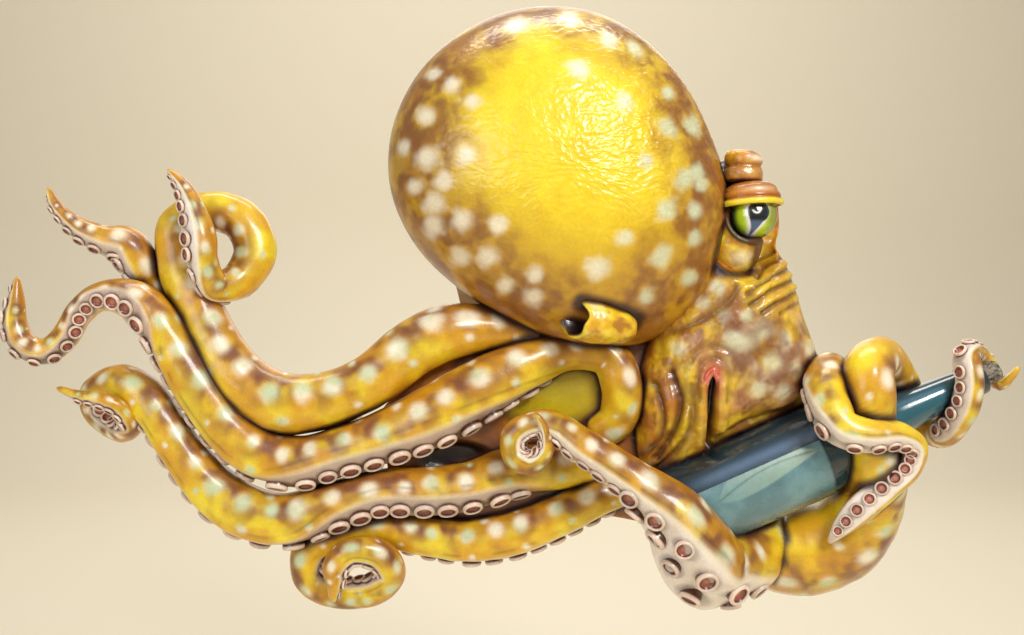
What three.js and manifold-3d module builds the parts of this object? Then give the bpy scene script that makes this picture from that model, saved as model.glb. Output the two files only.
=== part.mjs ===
// A wall-hung relief sculpture: an octopus hugging a bottle, as the pieces it is assembled from.
// Millimetres. +X right, +Z up, +Y into the wall. The wall is the plane y = 0, and the front faces -Y,
// so a point's "depth" is how far it stands out of the wall: y = -depth.
import * as THREE from "three";
import { mergeVertices } from "three/addons/utils/BufferGeometryUtils.js";
import Module from "manifold-3d";

const wasm = await Module();
wasm.setup();

// ---------------------------------------------------------------- driving dimensions

const GAP = 0.35; // room left between two touching pieces
const PEG_PITCH = 25.4; // hole spacing of the 1 inch pegboard that the sculpture hangs on
const PAD_THICKNESS = 6; // rubber pads hold the board this far off the wall
const BOARD_THICKNESS = 9; // plywood backer board
const BOARD_REAR = PAD_THICKNESS; // depth of the board's rear face
const BOARD_FRONT = BOARD_REAR + BOARD_THICKNESS;
const CASTING_REAR = BOARD_FRONT + GAP; // depth of every casting's flat back
const SMALLEST_FEATURE = 0.1; // tolerance for cleaning up a cut solid

const MANTLE = {
  x: -30,
  z: 102,
  radius: 142,
  stretch: 0.085, // long axis runs down to the right
  stretchAngle: -44,
  flattening: -0.033, // three-sided part of the egg shape
  flatteningAngle: 10,
  frontDepth: 136,
  skin: 5,
};
const BOTTLE = {
  base: [48, 62, -185], // x, depth, z of the base centre
  tilt: 23.7, // degrees above the horizontal
  bodyRadius: 38,
  length: 304,
  corkRadius: 9,
  corkLength: 36,
  corkOut: 16,
};
const EYE = { x: 126, depth: 68, z: 71, radius: 20 };
const HINGE_DEPTH = 3; // depth of the hanger rings' hinge axis
const HANGERS = { z: 130, left: -102, right: -102 + 6 * PEG_PITCH };
const STRAP = { width: 12, length: 38, thickness: 1.1, barrelRadius: 2.5, boreRadius: 1.65 };
const RING = { halfWidth: 15, drop: 20, cornerRadius: 8, wireRadius: 1.25 };

const BOARD_OUTLINE = [
  [-140, 112], [-100, 195], [-28, 220], [44, 194], [84, 134], [108, 96], [142, 44], [164, -25],
  [168, -79], [148, -112], [122, -158], [60, -166], [0, -160], [-62, -146], [-96, -112],
  [-110, -27], [-130, 51],
];
const HEAD_CENTRE = [122, -20];
const HEAD_OUTLINE = [
  [95, 112], [117, 122], [134, 115], [143, 101], [153, 88], [156, 66], [153, 47], [162, 32],
  [171, 10], [179, -16], [189, -42], [195, -64], [183, -88], [147, -108], [104, -127], [70, -150],
  [45, -150], [36, -121], [38, -69], [50, -34], [80, -15], [98, 10], [104, 62],
];
const WEB_OUTLINE = [
  [-186, -104], [-160, -73], [-128, -52], [-100, -36], [-60, -21], [0, -18], [52, -30], [66, -90],
  [80, -140], [136, -140], [150, -172], [118, -200], [60, -196], [0, -187], [-60, -196],
  [-110, -200], [-150, -196], [-172, -180], [-178, -140],
];

// Arm routes: x, depth, z, radius, and the angle of the sucker row, which is 0 towards the wall,
// 90 towards the left-hand side of the way the arm runs, and 180 towards the viewer.
const ARM_ROUTES = {
  arm_1: [
    [-43, 34, -33, 17, 0], [-82, 38, -26, 20, 0], [-120, 44, -27, 23, 0], [-154, 46, -41, 24, 0],
    [-191, 47, -70, 23, 0], [-228, 47, -86, 24, 0], [-265, 47, -88, 26, 0], [-296, 46, -71, 24, 0],
    [-320, 42, -39, 21, 0], [-337, 36, -3, 20, 0], [-351, 31, 28, 20, 0], [-354, 27, 57, 18, 0],
    [-333, 24, 72, 17, 0], [-304, 23, 66, 18, 0], [-291, 25, 40, 18, 0], [-301, 34, 15, 16, 30],
    [-318, 50, 8, 13, 80], [-326, 62, 28, 13, 125], [-328, 64, 47, 14, 135], [-334, 62, 70, 11, 135],
    [-343, 59, 89, 7, 130], [-355, 58, 103, 2, 120],
  ],
  arm_2: [
    [-150, 22, -118, 10, 30], [-190, 17, -116, 11, 30], [-227, 15, -106, 12, 30],
    [-296, 14, -80, 12, 60], [-347, 15, -29, 13, 80], [-375, 22, 9, 14, 100], [-384, 28, 24, 17, 115],
    [-395, 32, 41, 17, 120], [-412, 36, 46, 13, 120], [-429, 38, 53, 10, 120],
    [-442, 42, 64, 7, 120], [-451, 44, 76, 5, 115], [-455, 46, 88, 2, 110],
  ],
  arm_3: [
    [-3, 36, -118, 14, 0], [19, 42, -101, 17, 0], [22, 46, -72, 18, 0], [8, 44, -47, 17, 0],
    [-27, 44, -44, 17, 30], [-65, 48, -58, 23, 60], [-101, 52, -78, 26, 80], [-140, 54, -100, 26, 95],
    [-178, 54, -116, 23, 100], [-215, 54, -128, 21, 105], [-248, 52, -137, 22, 100],
    [-279, 52, -131, 22, 70], [-307, 52, -109, 21, 60], [-331, 52, -76, 20, 60],
    [-349, 52, -46, 19, 70], [-366, 52, -20, 18, 110], [-386, 50, -3, 16, 135],
    [-412, 46, -1, 12, 140], [-430, 42, -14, 11, 130], [-442, 40, -33, 11, 110],
    [-459, 40, -47, 11, 100], [-477, 40, -41, 11, 100], [-484, 40, -23, 10, 100],
    [-483, 40, -4, 7, 100], [-482, 40, 15, 2, 100],
  ],
  arm_4: [
    [7, 32, -141, 14, 20], [-29, 37, -144, 19, 60], [-68, 40, -146, 22, 90], [-106, 42, -159, 21, 105],
    [-144, 44, -163, 20, 110], [-182, 46, -163, 20, 110], [-219, 46, -174, 21, 100],
    [-257, 46, -186, 23, 70], [-290, 46, -180, 23, 60], [-319, 46, -161, 21, 60],
    [-342, 46, -134, 18, 60], [-360, 46, -107, 17, 60], [-378, 42, -83, 17, 60],
    [-400, 36, -73, 15, 70], [-424, 26, -81, 11, 90], [-425, 22, -99, 10, 120],
    [-403, 28, -112, 12, 120], [-388, 44, -107, 9, 110], [-393, 57, -92, 7, 100],
    [-409, 60, -84, 7, 100], [-425, 58, -82, 5, 100], [-445, 52, -76, 2, 100],
  ],
  arm_5: [
    [44, 29, -160, 12, 30], [8, 34, -168, 17, 70], [-28, 36, -185, 19, 80], [-67, 34, -201, 20, 80],
    [-106, 33, -208, 19, 80], [-144, 32, -204, 17, 70], [-183, 30, -196, 16, 60],
    [-217, 28, -200, 16, 60], [-241, 28, -215, 16, 80], [-242, 30, -239, 15, 90],
    [-220, 34, -251, 13, 90], [-189, 40, -248, 13, 90], [-172, 48, -232, 12, 90],
    [-181, 56, -214, 13, 90], [-202, 60, -209, 12, 90], [-216, 60, -220, 11, 90],
    [-218, 56, -239, 7, 90], [-220, 50, -254, 3, 90],
  ],
  arm_6: [
    [122, 30, -172, 14, 0], [138, 38, -188, 22, 0], [140, 48, -204, 26, 40], [120, 64, -219, 31, 100],
    [91, 84, -220, 34, 140], [73, 99, -199, 33, 142], [55, 106, -172, 26, 125],
    [28, 103, -149, 20, 115], [3, 97, -131, 16, 110], [-19, 90, -117, 15, 110],
    [-39, 84, -103, 13, 110], [-57, 79, -102, 11, 110], [-71, 76, -112, 11, 110],
    [-70, 77, -128, 11, 110], [-57, 81, -132, 10, 110], [-47, 88, -121, 7, 110],
    [-48, 92, -105, 5, 110], [-55, 94, -91, 2, 110],
  ],
  arm_7: [
    [126, 30, -186, 24, -60], [152, 36, -212, 33, -60], [182, 38, -215, 38, -60],
    [210, 46, -204, 36, -60], [226, 56, -182, 32, -60], [229, 74, -156, 27, -50],
    [223, 92, -131, 23, -40], [217, 102, -104, 18, -20], [212, 106, -76, 20, 0],
    [214, 98, -54, 20, 10], [238, 70, -47, 17, 0], [266, 44, -70, 15, 0], [283, 34, -98, 14, 20],
    [298, 50, -112, 13, 100], [303, 76, -92, 12, 110], [305, 86, -68, 11, 110],
    [306, 78, -46, 11, 110], [324, 56, -42, 9, 80], [346, 40, -54, 7, 60], [354, 42, -70, 6, 60],
    [359, 50, -64, 4, 60], [364, 56, -54, 2, 60],
  ],
  arm_8: [
    [200, 58, -56, 13, 0], [190, 74, -60, 18, 0], [180, 94, -72, 19, -40], [178, 110, -87, 18, -80],
    [185, 120, -100, 16, -110], [204, 124, -105, 14, -125], [226, 122, -105, 12, -130],
    [244, 116, -114, 10, -135], [243, 110, -132, 10, -145], [226, 104, -149, 12, -150],
    [209, 98, -167, 12, -150], [196, 92, -184, 8, -150], [187, 87, -198, 2, -150],
  ],
};
const ARM_SIDES = 8;
const ARM_FULLNESS = 1 / Math.cos(Math.PI / (2 * ARM_SIDES)); // corners stand out, flats lie in
const RINGS_PER_SPAN = 1.5;
// The stretch of each arm that carries suckers, as places along its route.
const SUCKER_STRETCH = {
  arm_1: [16, 20], arm_2: [5, 10], arm_3: [5, 23], arm_4: [2, 15], arm_5: [1, 10],
  arm_6: [3, 9], arm_7: [1, 7], arm_8: [3, 10],
};
// Steel rods pin the heavy arms to the web: the points of each rod inside the web, as x, depth, z,
// then the places on the arm's route that it follows.
const ARM_RODS = {
  arm_1: { web: [[-14, 30, -64], [-60, 38, -52], [-104, 43, -42]], first: 3, last: 5 },
  arm_3: { web: [[-3, 28, -140]], first: 0, last: 3 },
  arm_4: { web: [[40, 24, -138]], first: 0, last: 4 },
  arm_5: { web: [[74, 20, -150]], first: 0, last: 4 },
  arm_6: { web: [[92, 20, -140], [116, 20.5, -176]], first: 1, last: 3 },
  arm_7: { web: [[104, 20, -150], [128, 20.5, -184]], first: 1, last: 3 },
};
const ROD_RADIUS = 2;
const ROD_SIDES = 6;

// ---------------------------------------------------------------- materials

function paint(colour, roughness, metalness = 0) {
  return new THREE.MeshStandardMaterial({ color: colour, roughness, metalness });
}

// ---------------------------------------------------------------- solids from three.js geometry

// Welds a geometry and drops the flat triangles at its poles, as a manifold-3d solid.
function solidFrom(geometry) {
  const bare = new THREE.BufferGeometry();
  bare.setAttribute("position", geometry.getAttribute("position").clone());
  if (geometry.index) bare.setIndex(geometry.index.clone());
  const welded = mergeVertices(bare, 1e-4);
  const corners = welded.index.array;
  const kept = [];
  for (let i = 0; i < corners.length; i += 3) {
    const [a, b, c] = [corners[i], corners[i + 1], corners[i + 2]];
    if (a !== b && b !== c && c !== a) kept.push(a, b, c);
  }
  return solidFromTriangles(welded.attributes.position.array, kept);
}

// Makes the solid, turned the right way out.
function solidFromTriangles(positions, triangles) {
  const mesh = (corners) => new wasm.Mesh({
    numProp: 3,
    vertProperties: Float32Array.from(positions),
    triVerts: Uint32Array.from(corners),
  });
  const solid = new wasm.Manifold(mesh(triangles));
  if (solid.volume() > 0) return solid;
  return new wasm.Manifold(mesh(triangles.slice().reverse()));
}

function geometryFrom(solid) {
  const { vertProperties, triVerts } = solid.getMesh();
  const geometry = new THREE.BufferGeometry();
  geometry.setAttribute("position", new THREE.BufferAttribute(vertProperties, 3));
  geometry.setIndex(new THREE.BufferAttribute(triVerts, 1));
  geometry.computeVertexNormals();
  return geometry;
}

// Cuts away each grown neighbour that reaches the solid, and keeps the main body that is left.
function clearOf(solid, neighbours) {
  let left = solid;
  for (const neighbour of neighbours) {
    if (left.intersect(neighbour).isEmpty()) continue;
    left = left.subtract(neighbour);
  }
  return mainBody(left);
}

function mainBody(solid) {
  const bodies = solid.simplify(SMALLEST_FEATURE).decompose();
  return bodies.reduce((big, body) => (body.volume() > big.volume() ? body : big));
}

// ---------------------------------------------------------------- closed surfaces from rings

// Closes a stack of equal rings of points: capped at both ends, or joined end to end.
function solidFromRings(rings, joined = false) {
  const count = rings[0].length;
  const points = rings.flat();
  const triangles = [];
  const lastPair = joined ? rings.length : rings.length - 1;
  for (let r = 0; r < lastPair; r += 1) {
    const here = r * count;
    const next = ((r + 1) % rings.length) * count;
    for (let i = 0; i < count; i += 1) {
      const j = (i + 1) % count;
      triangles.push(here + i, here + j, next + j);
      triangles.push(here + i, next + j, next + i);
    }
  }
  if (!joined) {
    const end = (rings.length - 1) * count;
    const startMiddle = points.push(middleOf(rings[0])) - 1;
    const endMiddle = points.push(middleOf(rings[rings.length - 1])) - 1;
    for (let i = 0; i < count; i += 1) {
      const j = (i + 1) % count;
      triangles.push(startMiddle, j, i);
      triangles.push(endMiddle, end + i, end + j);
    }
  }
  return solidFromTriangles(points.flatMap((p) => [p.x, p.y, p.z]), triangles);
}

function middleOf(points) {
  const sum = points.reduce((total, p) => total.add(p), new THREE.Vector3());
  return sum.divideScalar(points.length);
}

function place(x, depth, z) {
  return new THREE.Vector3(x, -depth, z);
}

// Points of a smooth closed outline, as [x, z] pairs.
function smoothOutline(outline, samplesPerPoint) {
  const curve = new THREE.CatmullRomCurve3(
    outline.map(([x, z]) => new THREE.Vector3(x, 0, z)), true, "catmullrom", 0.5,
  );
  const count = outline.length * samplesPerPoint;
  return Array.from({ length: count }, (_, i) => curve.getPoint(i / count)).map((p) => [p.x, p.z]);
}

// A low dome over an outline: levels are [share of the outline, depth], from the back to the front.
function domeOver(outline, centre, levels) {
  const rings = levels.map(([share, depth]) => outline.map(([x, z]) => place(
    centre[0] + (x - centre[0]) * share, depth, centre[1] + (z - centre[1]) * share,
  )));
  return solidFromRings(rings);
}

// Levels of a dome that rises from full width at midDepth to its front along an ellipse.
function domeLevels(midDepth, frontDepth, count) {
  return Array.from({ length: count }, (_, i) => {
    const angle = (i / count) * (Math.PI / 2) + 0.04;
    return [Math.cos(angle), midDepth + (frontDepth - midDepth) * Math.sin(angle)];
  });
}

function ellipsoid(centre, radii, tilt = 0, grow = 0) {
  const ball = new THREE.SphereGeometry(1, 14, 8);
  ball.scale(radii[0] + grow, radii[1] + grow, radii[2] + grow);
  ball.rotateY(THREE.MathUtils.degToRad(tilt));
  ball.translate(centre[0], -centre[1], centre[2]);
  return solidFrom(ball);
}

function block(centre, size) {
  const box = new THREE.BoxGeometry(size[0], size[1], size[2]);
  box.translate(centre[0], -centre[1], centre[2]);
  return solidFrom(box);
}

// A turned piece: profile is [radius, height] along +Y of the lathe, then laid along a direction.
function turned(profile, from, direction, sides) {
  const lathe = new THREE.LatheGeometry(profile.map(([r, h]) => new THREE.Vector2(r, h)), sides);
  const turn = new THREE.Quaternion().setFromUnitVectors(new THREE.Vector3(0, 1, 0), direction);
  lathe.applyQuaternion(turn);
  lathe.translate(from.x, from.y, from.z);
  return solidFrom(lathe);
}

// ---------------------------------------------------------------- swept arms

// Samples a route: at each place along it, the centre, the radius and three directions.
function sampleRoute(route, ringsPerSpan, first = 0, last = route.length - 1) {
  const curve = new THREE.CatmullRomCurve3(
    route.map(([x, depth, z]) => place(x, depth, z)), false, "catmullrom", 0.5,
  );
  const spans = route.length - 1;
  const count = Math.round((last - first) * ringsPerSpan);
  return Array.from({ length: count + 1 }, (_, i) => {
    const along = first + ((last - first) * i) / count;
    const index = Math.min(Math.floor(along), spans - 1);
    const share = along - index;
    const [, , , radiusA, rollA] = route[index];
    const [, , , radiusB, rollB] = route[index + 1];
    const tangent = curve.getTangent(along / spans);
    const wallward = new THREE.Vector3(0, 1, 0).addScaledVector(tangent, -tangent.y).normalize();
    return {
      centre: curve.getPoint(along / spans),
      radius: THREE.MathUtils.lerp(radiusA, radiusB, share),
      roll: THREE.MathUtils.degToRad(THREE.MathUtils.lerp(rollA, rollB, share)),
      wallward,
      leftward: new THREE.Vector3().crossVectors(tangent, wallward),
    };
  });
}

// A point of an arm's cross-section: "out" along an angle from the sucker row, "across" it.
function sectionPoint(sample, angle, out, across = 0) {
  const turn = sample.roll + angle;
  return sample.centre.clone()
    .addScaledVector(sample.wallward, out * Math.cos(turn) - across * Math.sin(turn))
    .addScaledVector(sample.leftward, out * Math.sin(turn) + across * Math.cos(turn));
}

// Sweeps the arm's section through its samples; growing it also pushes both of its ends outwards.
function sweep(samples, sides, grow) {
  const step = (2 * Math.PI) / sides;
  const forward = (sample) => new THREE.Vector3().crossVectors(sample.wallward, sample.leftward);
  const first = samples[0];
  const tip = samples[samples.length - 1];
  first.centre.addScaledVector(forward(first), -grow);
  tip.centre.addScaledVector(forward(tip), grow);
  return solidFromRings(samples.map((sample) => Array.from({ length: sides }, (_, i) => (
    sectionPoint(sample, (i + 0.5) * step, (sample.radius + grow) * ARM_FULLNESS)
  ))));
}

// An arm may curl over itself, so it is swept in stretches that are then joined.
function armSolid(route, grow = 0) {
  const stretch = 4;
  let arm = null;
  for (let first = 0; first < route.length - 1; first += stretch) {
    const last = Math.min(first + stretch, route.length - 1);
    const piece = sweep(sampleRoute(route, RINGS_PER_SPAN, first, last), ARM_SIDES, grow);
    arm = arm ? arm.add(piece) : piece;
  }
  return arm;
}

// The row of suckers, as one raised strip along the side of the arm that carries them.
function suckerStrip(route, [first, last]) {
  const height = 5;
  const sunk = 2;
  return solidFromRings(sampleRoute(route, RINGS_PER_SPAN, first, last).map((sample) => {
    const width = Math.min(sample.radius * 0.35, 7);
    const out = sample.radius + Math.min(height, sample.radius * 0.5);
    return [
      sectionPoint(sample, 0, sample.radius - sunk, -width),
      sectionPoint(sample, 0, out, -width * 0.8),
      sectionPoint(sample, 0, out, width * 0.8),
      sectionPoint(sample, 0, sample.radius - sunk, width),
    ];
  }));
}

// A rod from inside the web and along the middle of its arm.
function rodSolid(name, grow = 0) {
  const { web, first, last } = ARM_RODS[name];
  const route = [...web, ...ARM_ROUTES[name].slice(first, last + 1)];
  const rodRoute = route.map(([x, depth, z]) => [x, depth, z, ROD_RADIUS, 0]);
  return sweep(sampleRoute(rodRoute, RINGS_PER_SPAN), ROD_SIDES, grow);
}

// ---------------------------------------------------------------- mantle

function mantleOutline(samples) {
  const { x, z, radius, stretch, stretchAngle, flattening, flatteningAngle } = MANTLE;
  return Array.from({ length: samples }, (_, i) => {
    const angle = (2 * Math.PI * i) / samples;
    const twoSided = Math.cos(2 * (angle - THREE.MathUtils.degToRad(stretchAngle)));
    const threeSided = Math.cos(3 * (angle - THREE.MathUtils.degToRad(flatteningAngle)));
    const reach = radius * (1 + stretch * twoSided + flattening * threeSided);
    return [x + reach * Math.cos(angle), z + reach * Math.sin(angle)];
  });
}

// The egg-shaped dome, drawn in by an inset, with its back plane moved by an extra depth.
function mantleSolid(inset, backShift = 0) {
  const midDepth = 38;
  const height = MANTLE.frontDepth - CASTING_REAR;
  const narrowing = 1 - inset / MANTLE.radius;
  const lowering = 1 - inset / height;
  const levels = [[0.9, CASTING_REAR], [0.97, 25], ...domeLevels(midDepth, MANTLE.frontDepth, 6)];
  const inside = levels.map(([share, depth]) => [
    share * narrowing, CASTING_REAR + (depth - CASTING_REAR) * lowering,
  ]);
  const back = backShift > 0 ? [[inside[0][0], CASTING_REAR - backShift]] : [];
  return domeOver(mantleOutline(26), [MANTLE.x, MANTLE.z], [...back, ...inside]);
}

// ---------------------------------------------------------------- face

const FACE = {
  knob: [[118, 62, 112], [17, 17, 14], 0],
  lid: [[126, 68, 73], [28, 25, 28], 0],
  bag: [[110, 64, 43], [23, 24, 30], 20],
};

function eyeball(grow = 0) {
  return ellipsoid([EYE.x, EYE.depth, EYE.z], [EYE.radius, EYE.radius, EYE.radius], 0, grow);
}

// The upper lid is the part of a rounded hood above a level cut across the eye.
function upperLid(grow = 0) {
  const cutLevel = EYE.z + 5 - grow;
  const above = block([EYE.x, EYE.depth, cutLevel + 50], [120, 120, 100]);
  return ellipsoid(...FACE.lid, grow).intersect(above);
}

// A sleeve that lines the mouth slit, open at the front and closed at the back.
function mouthLiner(grow = 0) {
  const slit = { x: 91, z: -90, halfLength: 27, halfWidth: 2.6 };
  const wall = 5 + grow;
  const outer = stadium(slit.x, slit.z, slit.halfWidth + wall, slit.halfLength, 40 - grow, 92);
  if (grow > 0) return outer;
  return outer.subtract(stadium(slit.x, slit.z, slit.halfWidth, slit.halfLength, 46, 100));
}

// A block with half-round top and bottom, standing along Z, from one depth to another.
function stadium(x, z, radius, halfLength, fromDepth, toDepth) {
  const shape = new THREE.Shape();
  shape.absarc(0, halfLength, radius, 0, Math.PI, false);
  shape.absarc(0, -halfLength, radius, Math.PI, 2 * Math.PI, false);
  const slab = new THREE.ExtrudeGeometry(shape, {
    depth: toDepth - fromDepth, bevelEnabled: false, curveSegments: 5,
  });
  slab.rotateX(Math.PI / 2);
  slab.translate(x, -fromDepth, z);
  return solidFrom(slab);
}

// The breathing funnel is a short tapered tube, closed at its narrow end.
function siphonFunnel(grow = 0) {
  const mouth = place(-24, 100, -15);
  const tail = place(26, 92, -24);
  const along = tail.clone().sub(mouth);
  const length = along.length() + grow;
  const outside = [[0, length], [9 + grow, length], [15 + grow, length * 0.7],
    [17 + grow, length * 0.3], [16 + grow, -grow]];
  const inside = [[12, 0], [10, length * 0.5], [5, length * 0.8], [0, length * 0.8]];
  const profile = grow > 0 ? [...outside, [0, -grow]] : [...outside, ...inside];
  return turned(profile, mouth, along.normalize(), 14);
}

function headCasting() {
  const levels = [[0.94, CASTING_REAR], [1, 30], ...domeLevels(40, 92, 5)];
  return domeOver(HEAD_OUTLINE, HEAD_CENTRE, levels);
}

function webCasting() {
  const levels = [[0.97, CASTING_REAR], [1, 22], [0.97, 28], [0.88, 33], [0.6, 36]];
  return domeOver(WEB_OUTLINE, [0, -110], levels);
}

// ---------------------------------------------------------------- bottle

const bottleAxis = new THREE.Vector3(
  Math.cos(THREE.MathUtils.degToRad(BOTTLE.tilt)), 0, Math.sin(THREE.MathUtils.degToRad(BOTTLE.tilt)),
);

function alongBottle(distance) {
  return place(...BOTTLE.base).addScaledVector(bottleAxis, distance);
}

function bottleSolid(grow = 0) {
  const corkSeat = BOTTLE.length - (BOTTLE.corkLength - BOTTLE.corkOut) - GAP;
  const body = BOTTLE.bodyRadius;
  const outside = [[0, -grow], [body - 3 + grow, -grow], [body + grow, 3], [body + grow, 150],
    [body - 3 + grow, 172], [27 + grow, 195], [18.6 + grow, 221], [15 + grow, 257],
    [13 + grow, 286], [15.5 + grow, 288], [15.5 + grow, 294], [13.5 + grow, 296],
    [14.5 + grow, 298], [14 + grow, BOTTLE.length + grow]];
  const bore = [[BOTTLE.corkRadius + GAP, BOTTLE.length], [BOTTLE.corkRadius + GAP, corkSeat],
    [0, corkSeat]];
  const profile = grow > 0 ? [...outside, [0, BOTTLE.length + grow]] : [...outside, ...bore];
  return turned(profile, alongBottle(0), bottleAxis, 20);
}

function corkSolid(grow = 0) {
  const start = BOTTLE.length - (BOTTLE.corkLength - BOTTLE.corkOut);
  const radius = BOTTLE.corkRadius + grow;
  const profile = [[0, -grow], [radius - 1, -grow], [radius, 1], [radius, BOTTLE.corkLength - 1.5],
    [radius - 1.5, BOTTLE.corkLength + grow], [0, BOTTLE.corkLength + grow]];
  return turned(profile, alongBottle(start), bottleAxis, 16);
}

// The label is a thin sheet wrapped round part of the bottle, below its front line.
function labelSolid(grow = 0) {
  const fromAngle = -85;
  const toAngle = 25;
  const bands = 10;
  const inner = BOTTLE.bodyRadius + GAP - grow;
  const outer = BOTTLE.bodyRadius + GAP + 0.6 + grow;
  const upward = new THREE.Vector3(-bottleAxis.z, 0, bottleAxis.x);
  const rings = [32 - grow, 146 + grow].map((distance) => {
    const rim = (radius, angle) => alongBottle(distance)
      .addScaledVector(upward, radius * Math.sin(angle))
      .addScaledVector(new THREE.Vector3(0, -1, 0), radius * Math.cos(angle));
    const angles = Array.from({ length: bands + 1 }, (_, i) => (
      THREE.MathUtils.degToRad(fromAngle + ((toAngle - fromAngle) * i) / bands)
    ));
    return [...angles.map((a) => rim(outer, a)), ...angles.reverse().map((a) => rim(inner, a))];
  });
  return stripBetween(rings[0], rings[1]);
}

// Joins two equal curved outlines whose points pair up across a thin sheet, and closes both ends.
function stripBetween(start, end) {
  const count = start.length;
  const triangles = [];
  for (let i = 0; i < count; i += 1) {
    const j = (i + 1) % count;
    triangles.push(i, j, count + j, i, count + j, count + i);
  }
  for (let i = 0; i < count / 2 - 1; i += 1) {
    const across = count - 1 - i;
    triangles.push(i + 1, i, across, i + 1, across, across - 1);
    triangles.push(count + i, count + i + 1, count + across);
    triangles.push(count + i + 1, count + across - 1, count + across);
  }
  return solidFromTriangles([...start, ...end].flatMap((p) => [p.x, p.y, p.z]), triangles);
}

// ---------------------------------------------------------------- board and hanging hardware

function boardPanel(grow = 0) {
  const outline = smoothOutline(BOARD_OUTLINE, 2);
  const shape = new THREE.Shape(outline.map(([x, z]) => new THREE.Vector2(x, z)));
  const slab = new THREE.ExtrudeGeometry(shape, {
    depth: BOARD_THICKNESS + 2 * grow, bevelEnabled: false,
  });
  slab.rotateX(Math.PI / 2);
  slab.translate(0, -BOARD_REAR + grow, 0);
  return solidFrom(slab);
}

// A pan-head screw driven from the back, its head resting at headDepth and its tip at tipDepth.
function screw(spot, size, grow = 0) {
  const { headRadius, headHeight, shankRadius } = size;
  const shank = spot.tipDepth - spot.headDepth;
  const profile = [[0, -headHeight - grow], [headRadius * 0.7 + grow, -headHeight - grow],
    [headRadius + grow, -headHeight * 0.4], [headRadius + grow, grow], [shankRadius + grow, grow],
    [shankRadius + grow, shank - 2], [0, shank + grow]];
  return turned(profile, place(spot.x, spot.headDepth, spot.z), new THREE.Vector3(0, -1, 0), 8);
}

const BODY_SCREW = { headRadius: 4, headHeight: 2.4, shankRadius: 2 };
const HANGER_SCREW = { headRadius: 3.2, headHeight: 1.8, shankRadius: 1.5 };
const BODY_SCREW_SPOTS = {
  body_screw_upper_left: { x: -80, z: 80, headDepth: BOARD_REAR - GAP, tipDepth: 44 },
  body_screw_upper_right: { x: 20, z: 60, headDepth: BOARD_REAR - GAP, tipDepth: 44 },
  body_screw_head: { x: 138, z: -20, headDepth: BOARD_REAR - GAP, tipDepth: 44 },
  body_screw_web: { x: -70, z: -118, headDepth: BOARD_REAR - GAP, tipDepth: 24 },
};
const PAD_SPOTS = {
  wall_pad_middle: [0, 0], wall_pad_top: [-28, 200], wall_pad_left: [-112, 60],
  wall_pad_right: [140, 0], wall_pad_bottom: [60, -150],
};

function wallPad([x, z]) {
  const radius = 8;
  const height = PAD_THICKNESS - GAP;
  const profile = [[0, 0], [radius - 1, 0], [radius, 1], [radius, height], [0, height]];
  return turned(profile, place(x, 0, z), new THREE.Vector3(0, -1, 0), 16);
}

// A strap of sheet steel whose upper end is rolled into a barrel round the ring's straight side.
function hangerStrap(x) {
  const { width, length, thickness, barrelRadius, boreRadius } = STRAP;
  const face = BOARD_REAR - GAP - thickness / 2;
  const plate = block([x, face, HANGERS.z - length / 2], [width, thickness, length]);
  const crosswise = new THREE.Vector3(1, 0, 0);
  const rod = (radius, extra) => turned(
    [[0, -extra], [radius, -extra], [radius, width + extra], [0, width + extra]],
    place(x - width / 2, HINGE_DEPTH, HANGERS.z), crosswise, 16,
  );
  return plate.add(rod(barrelRadius, 0)).subtract(rod(boreRadius, 1));
}

// The ring hangs from its straight side, which lies in the barrel.
function hangerRing(x) {
  const { halfWidth, drop, cornerRadius, wireRadius } = RING;
  const path = [];
  const corner = (centreX, centreZ, radius, fromAngle) => {
    const steps = 4;
    for (let i = 0; i <= steps; i += 1) {
      const angle = THREE.MathUtils.degToRad(fromAngle - (90 * i) / steps);
      path.push([centreX + radius * Math.cos(angle), centreZ + radius * Math.sin(angle)]);
    }
  };
  const tight = 2;
  corner(halfWidth - tight, -tight, tight, 90);
  corner(halfWidth - cornerRadius, cornerRadius - drop, cornerRadius, 0);
  corner(cornerRadius - halfWidth, cornerRadius - drop, cornerRadius, -90);
  corner(tight - halfWidth, -tight, tight, 180);
  const centres = path.map(([px, pz]) => place(x + px, HINGE_DEPTH, HANGERS.z + pz));
  const sides = 6;
  const rings = centres.map((centre, i) => {
    const before = centres[(i + centres.length - 1) % centres.length];
    const after = centres[(i + 1) % centres.length];
    const tangent = after.clone().sub(before).normalize();
    const outward = new THREE.Vector3(0, 1, 0);
    const sideways = new THREE.Vector3().crossVectors(tangent, outward);
    return Array.from({ length: sides }, (_, k) => {
      const angle = (2 * Math.PI * (k + 0.5)) / sides;
      return centre.clone()
        .addScaledVector(outward, wireRadius * Math.cos(angle))
        .addScaledVector(sideways, wireRadius * Math.sin(angle));
    });
  });
  return solidFromRings(rings, true);
}

// ---------------------------------------------------------------- assembly

const sculpture = new THREE.Group();
sculpture.name = "octopus_wall_sculpture";

function add(name, solid, material) {
  const mesh = new THREE.Mesh(geometryFrom(solid), material);
  mesh.name = name;
  sculpture.add(mesh);
}

const hide = () => paint(0xe0a010, 0.35);
const bodyScrews = Object.entries(BODY_SCREW_SPOTS);
const grownBodyScrews = bodyScrews.map(([, spot]) => screw(spot, BODY_SCREW, GAP));
const grownBoard = boardPanel(GAP);

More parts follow.
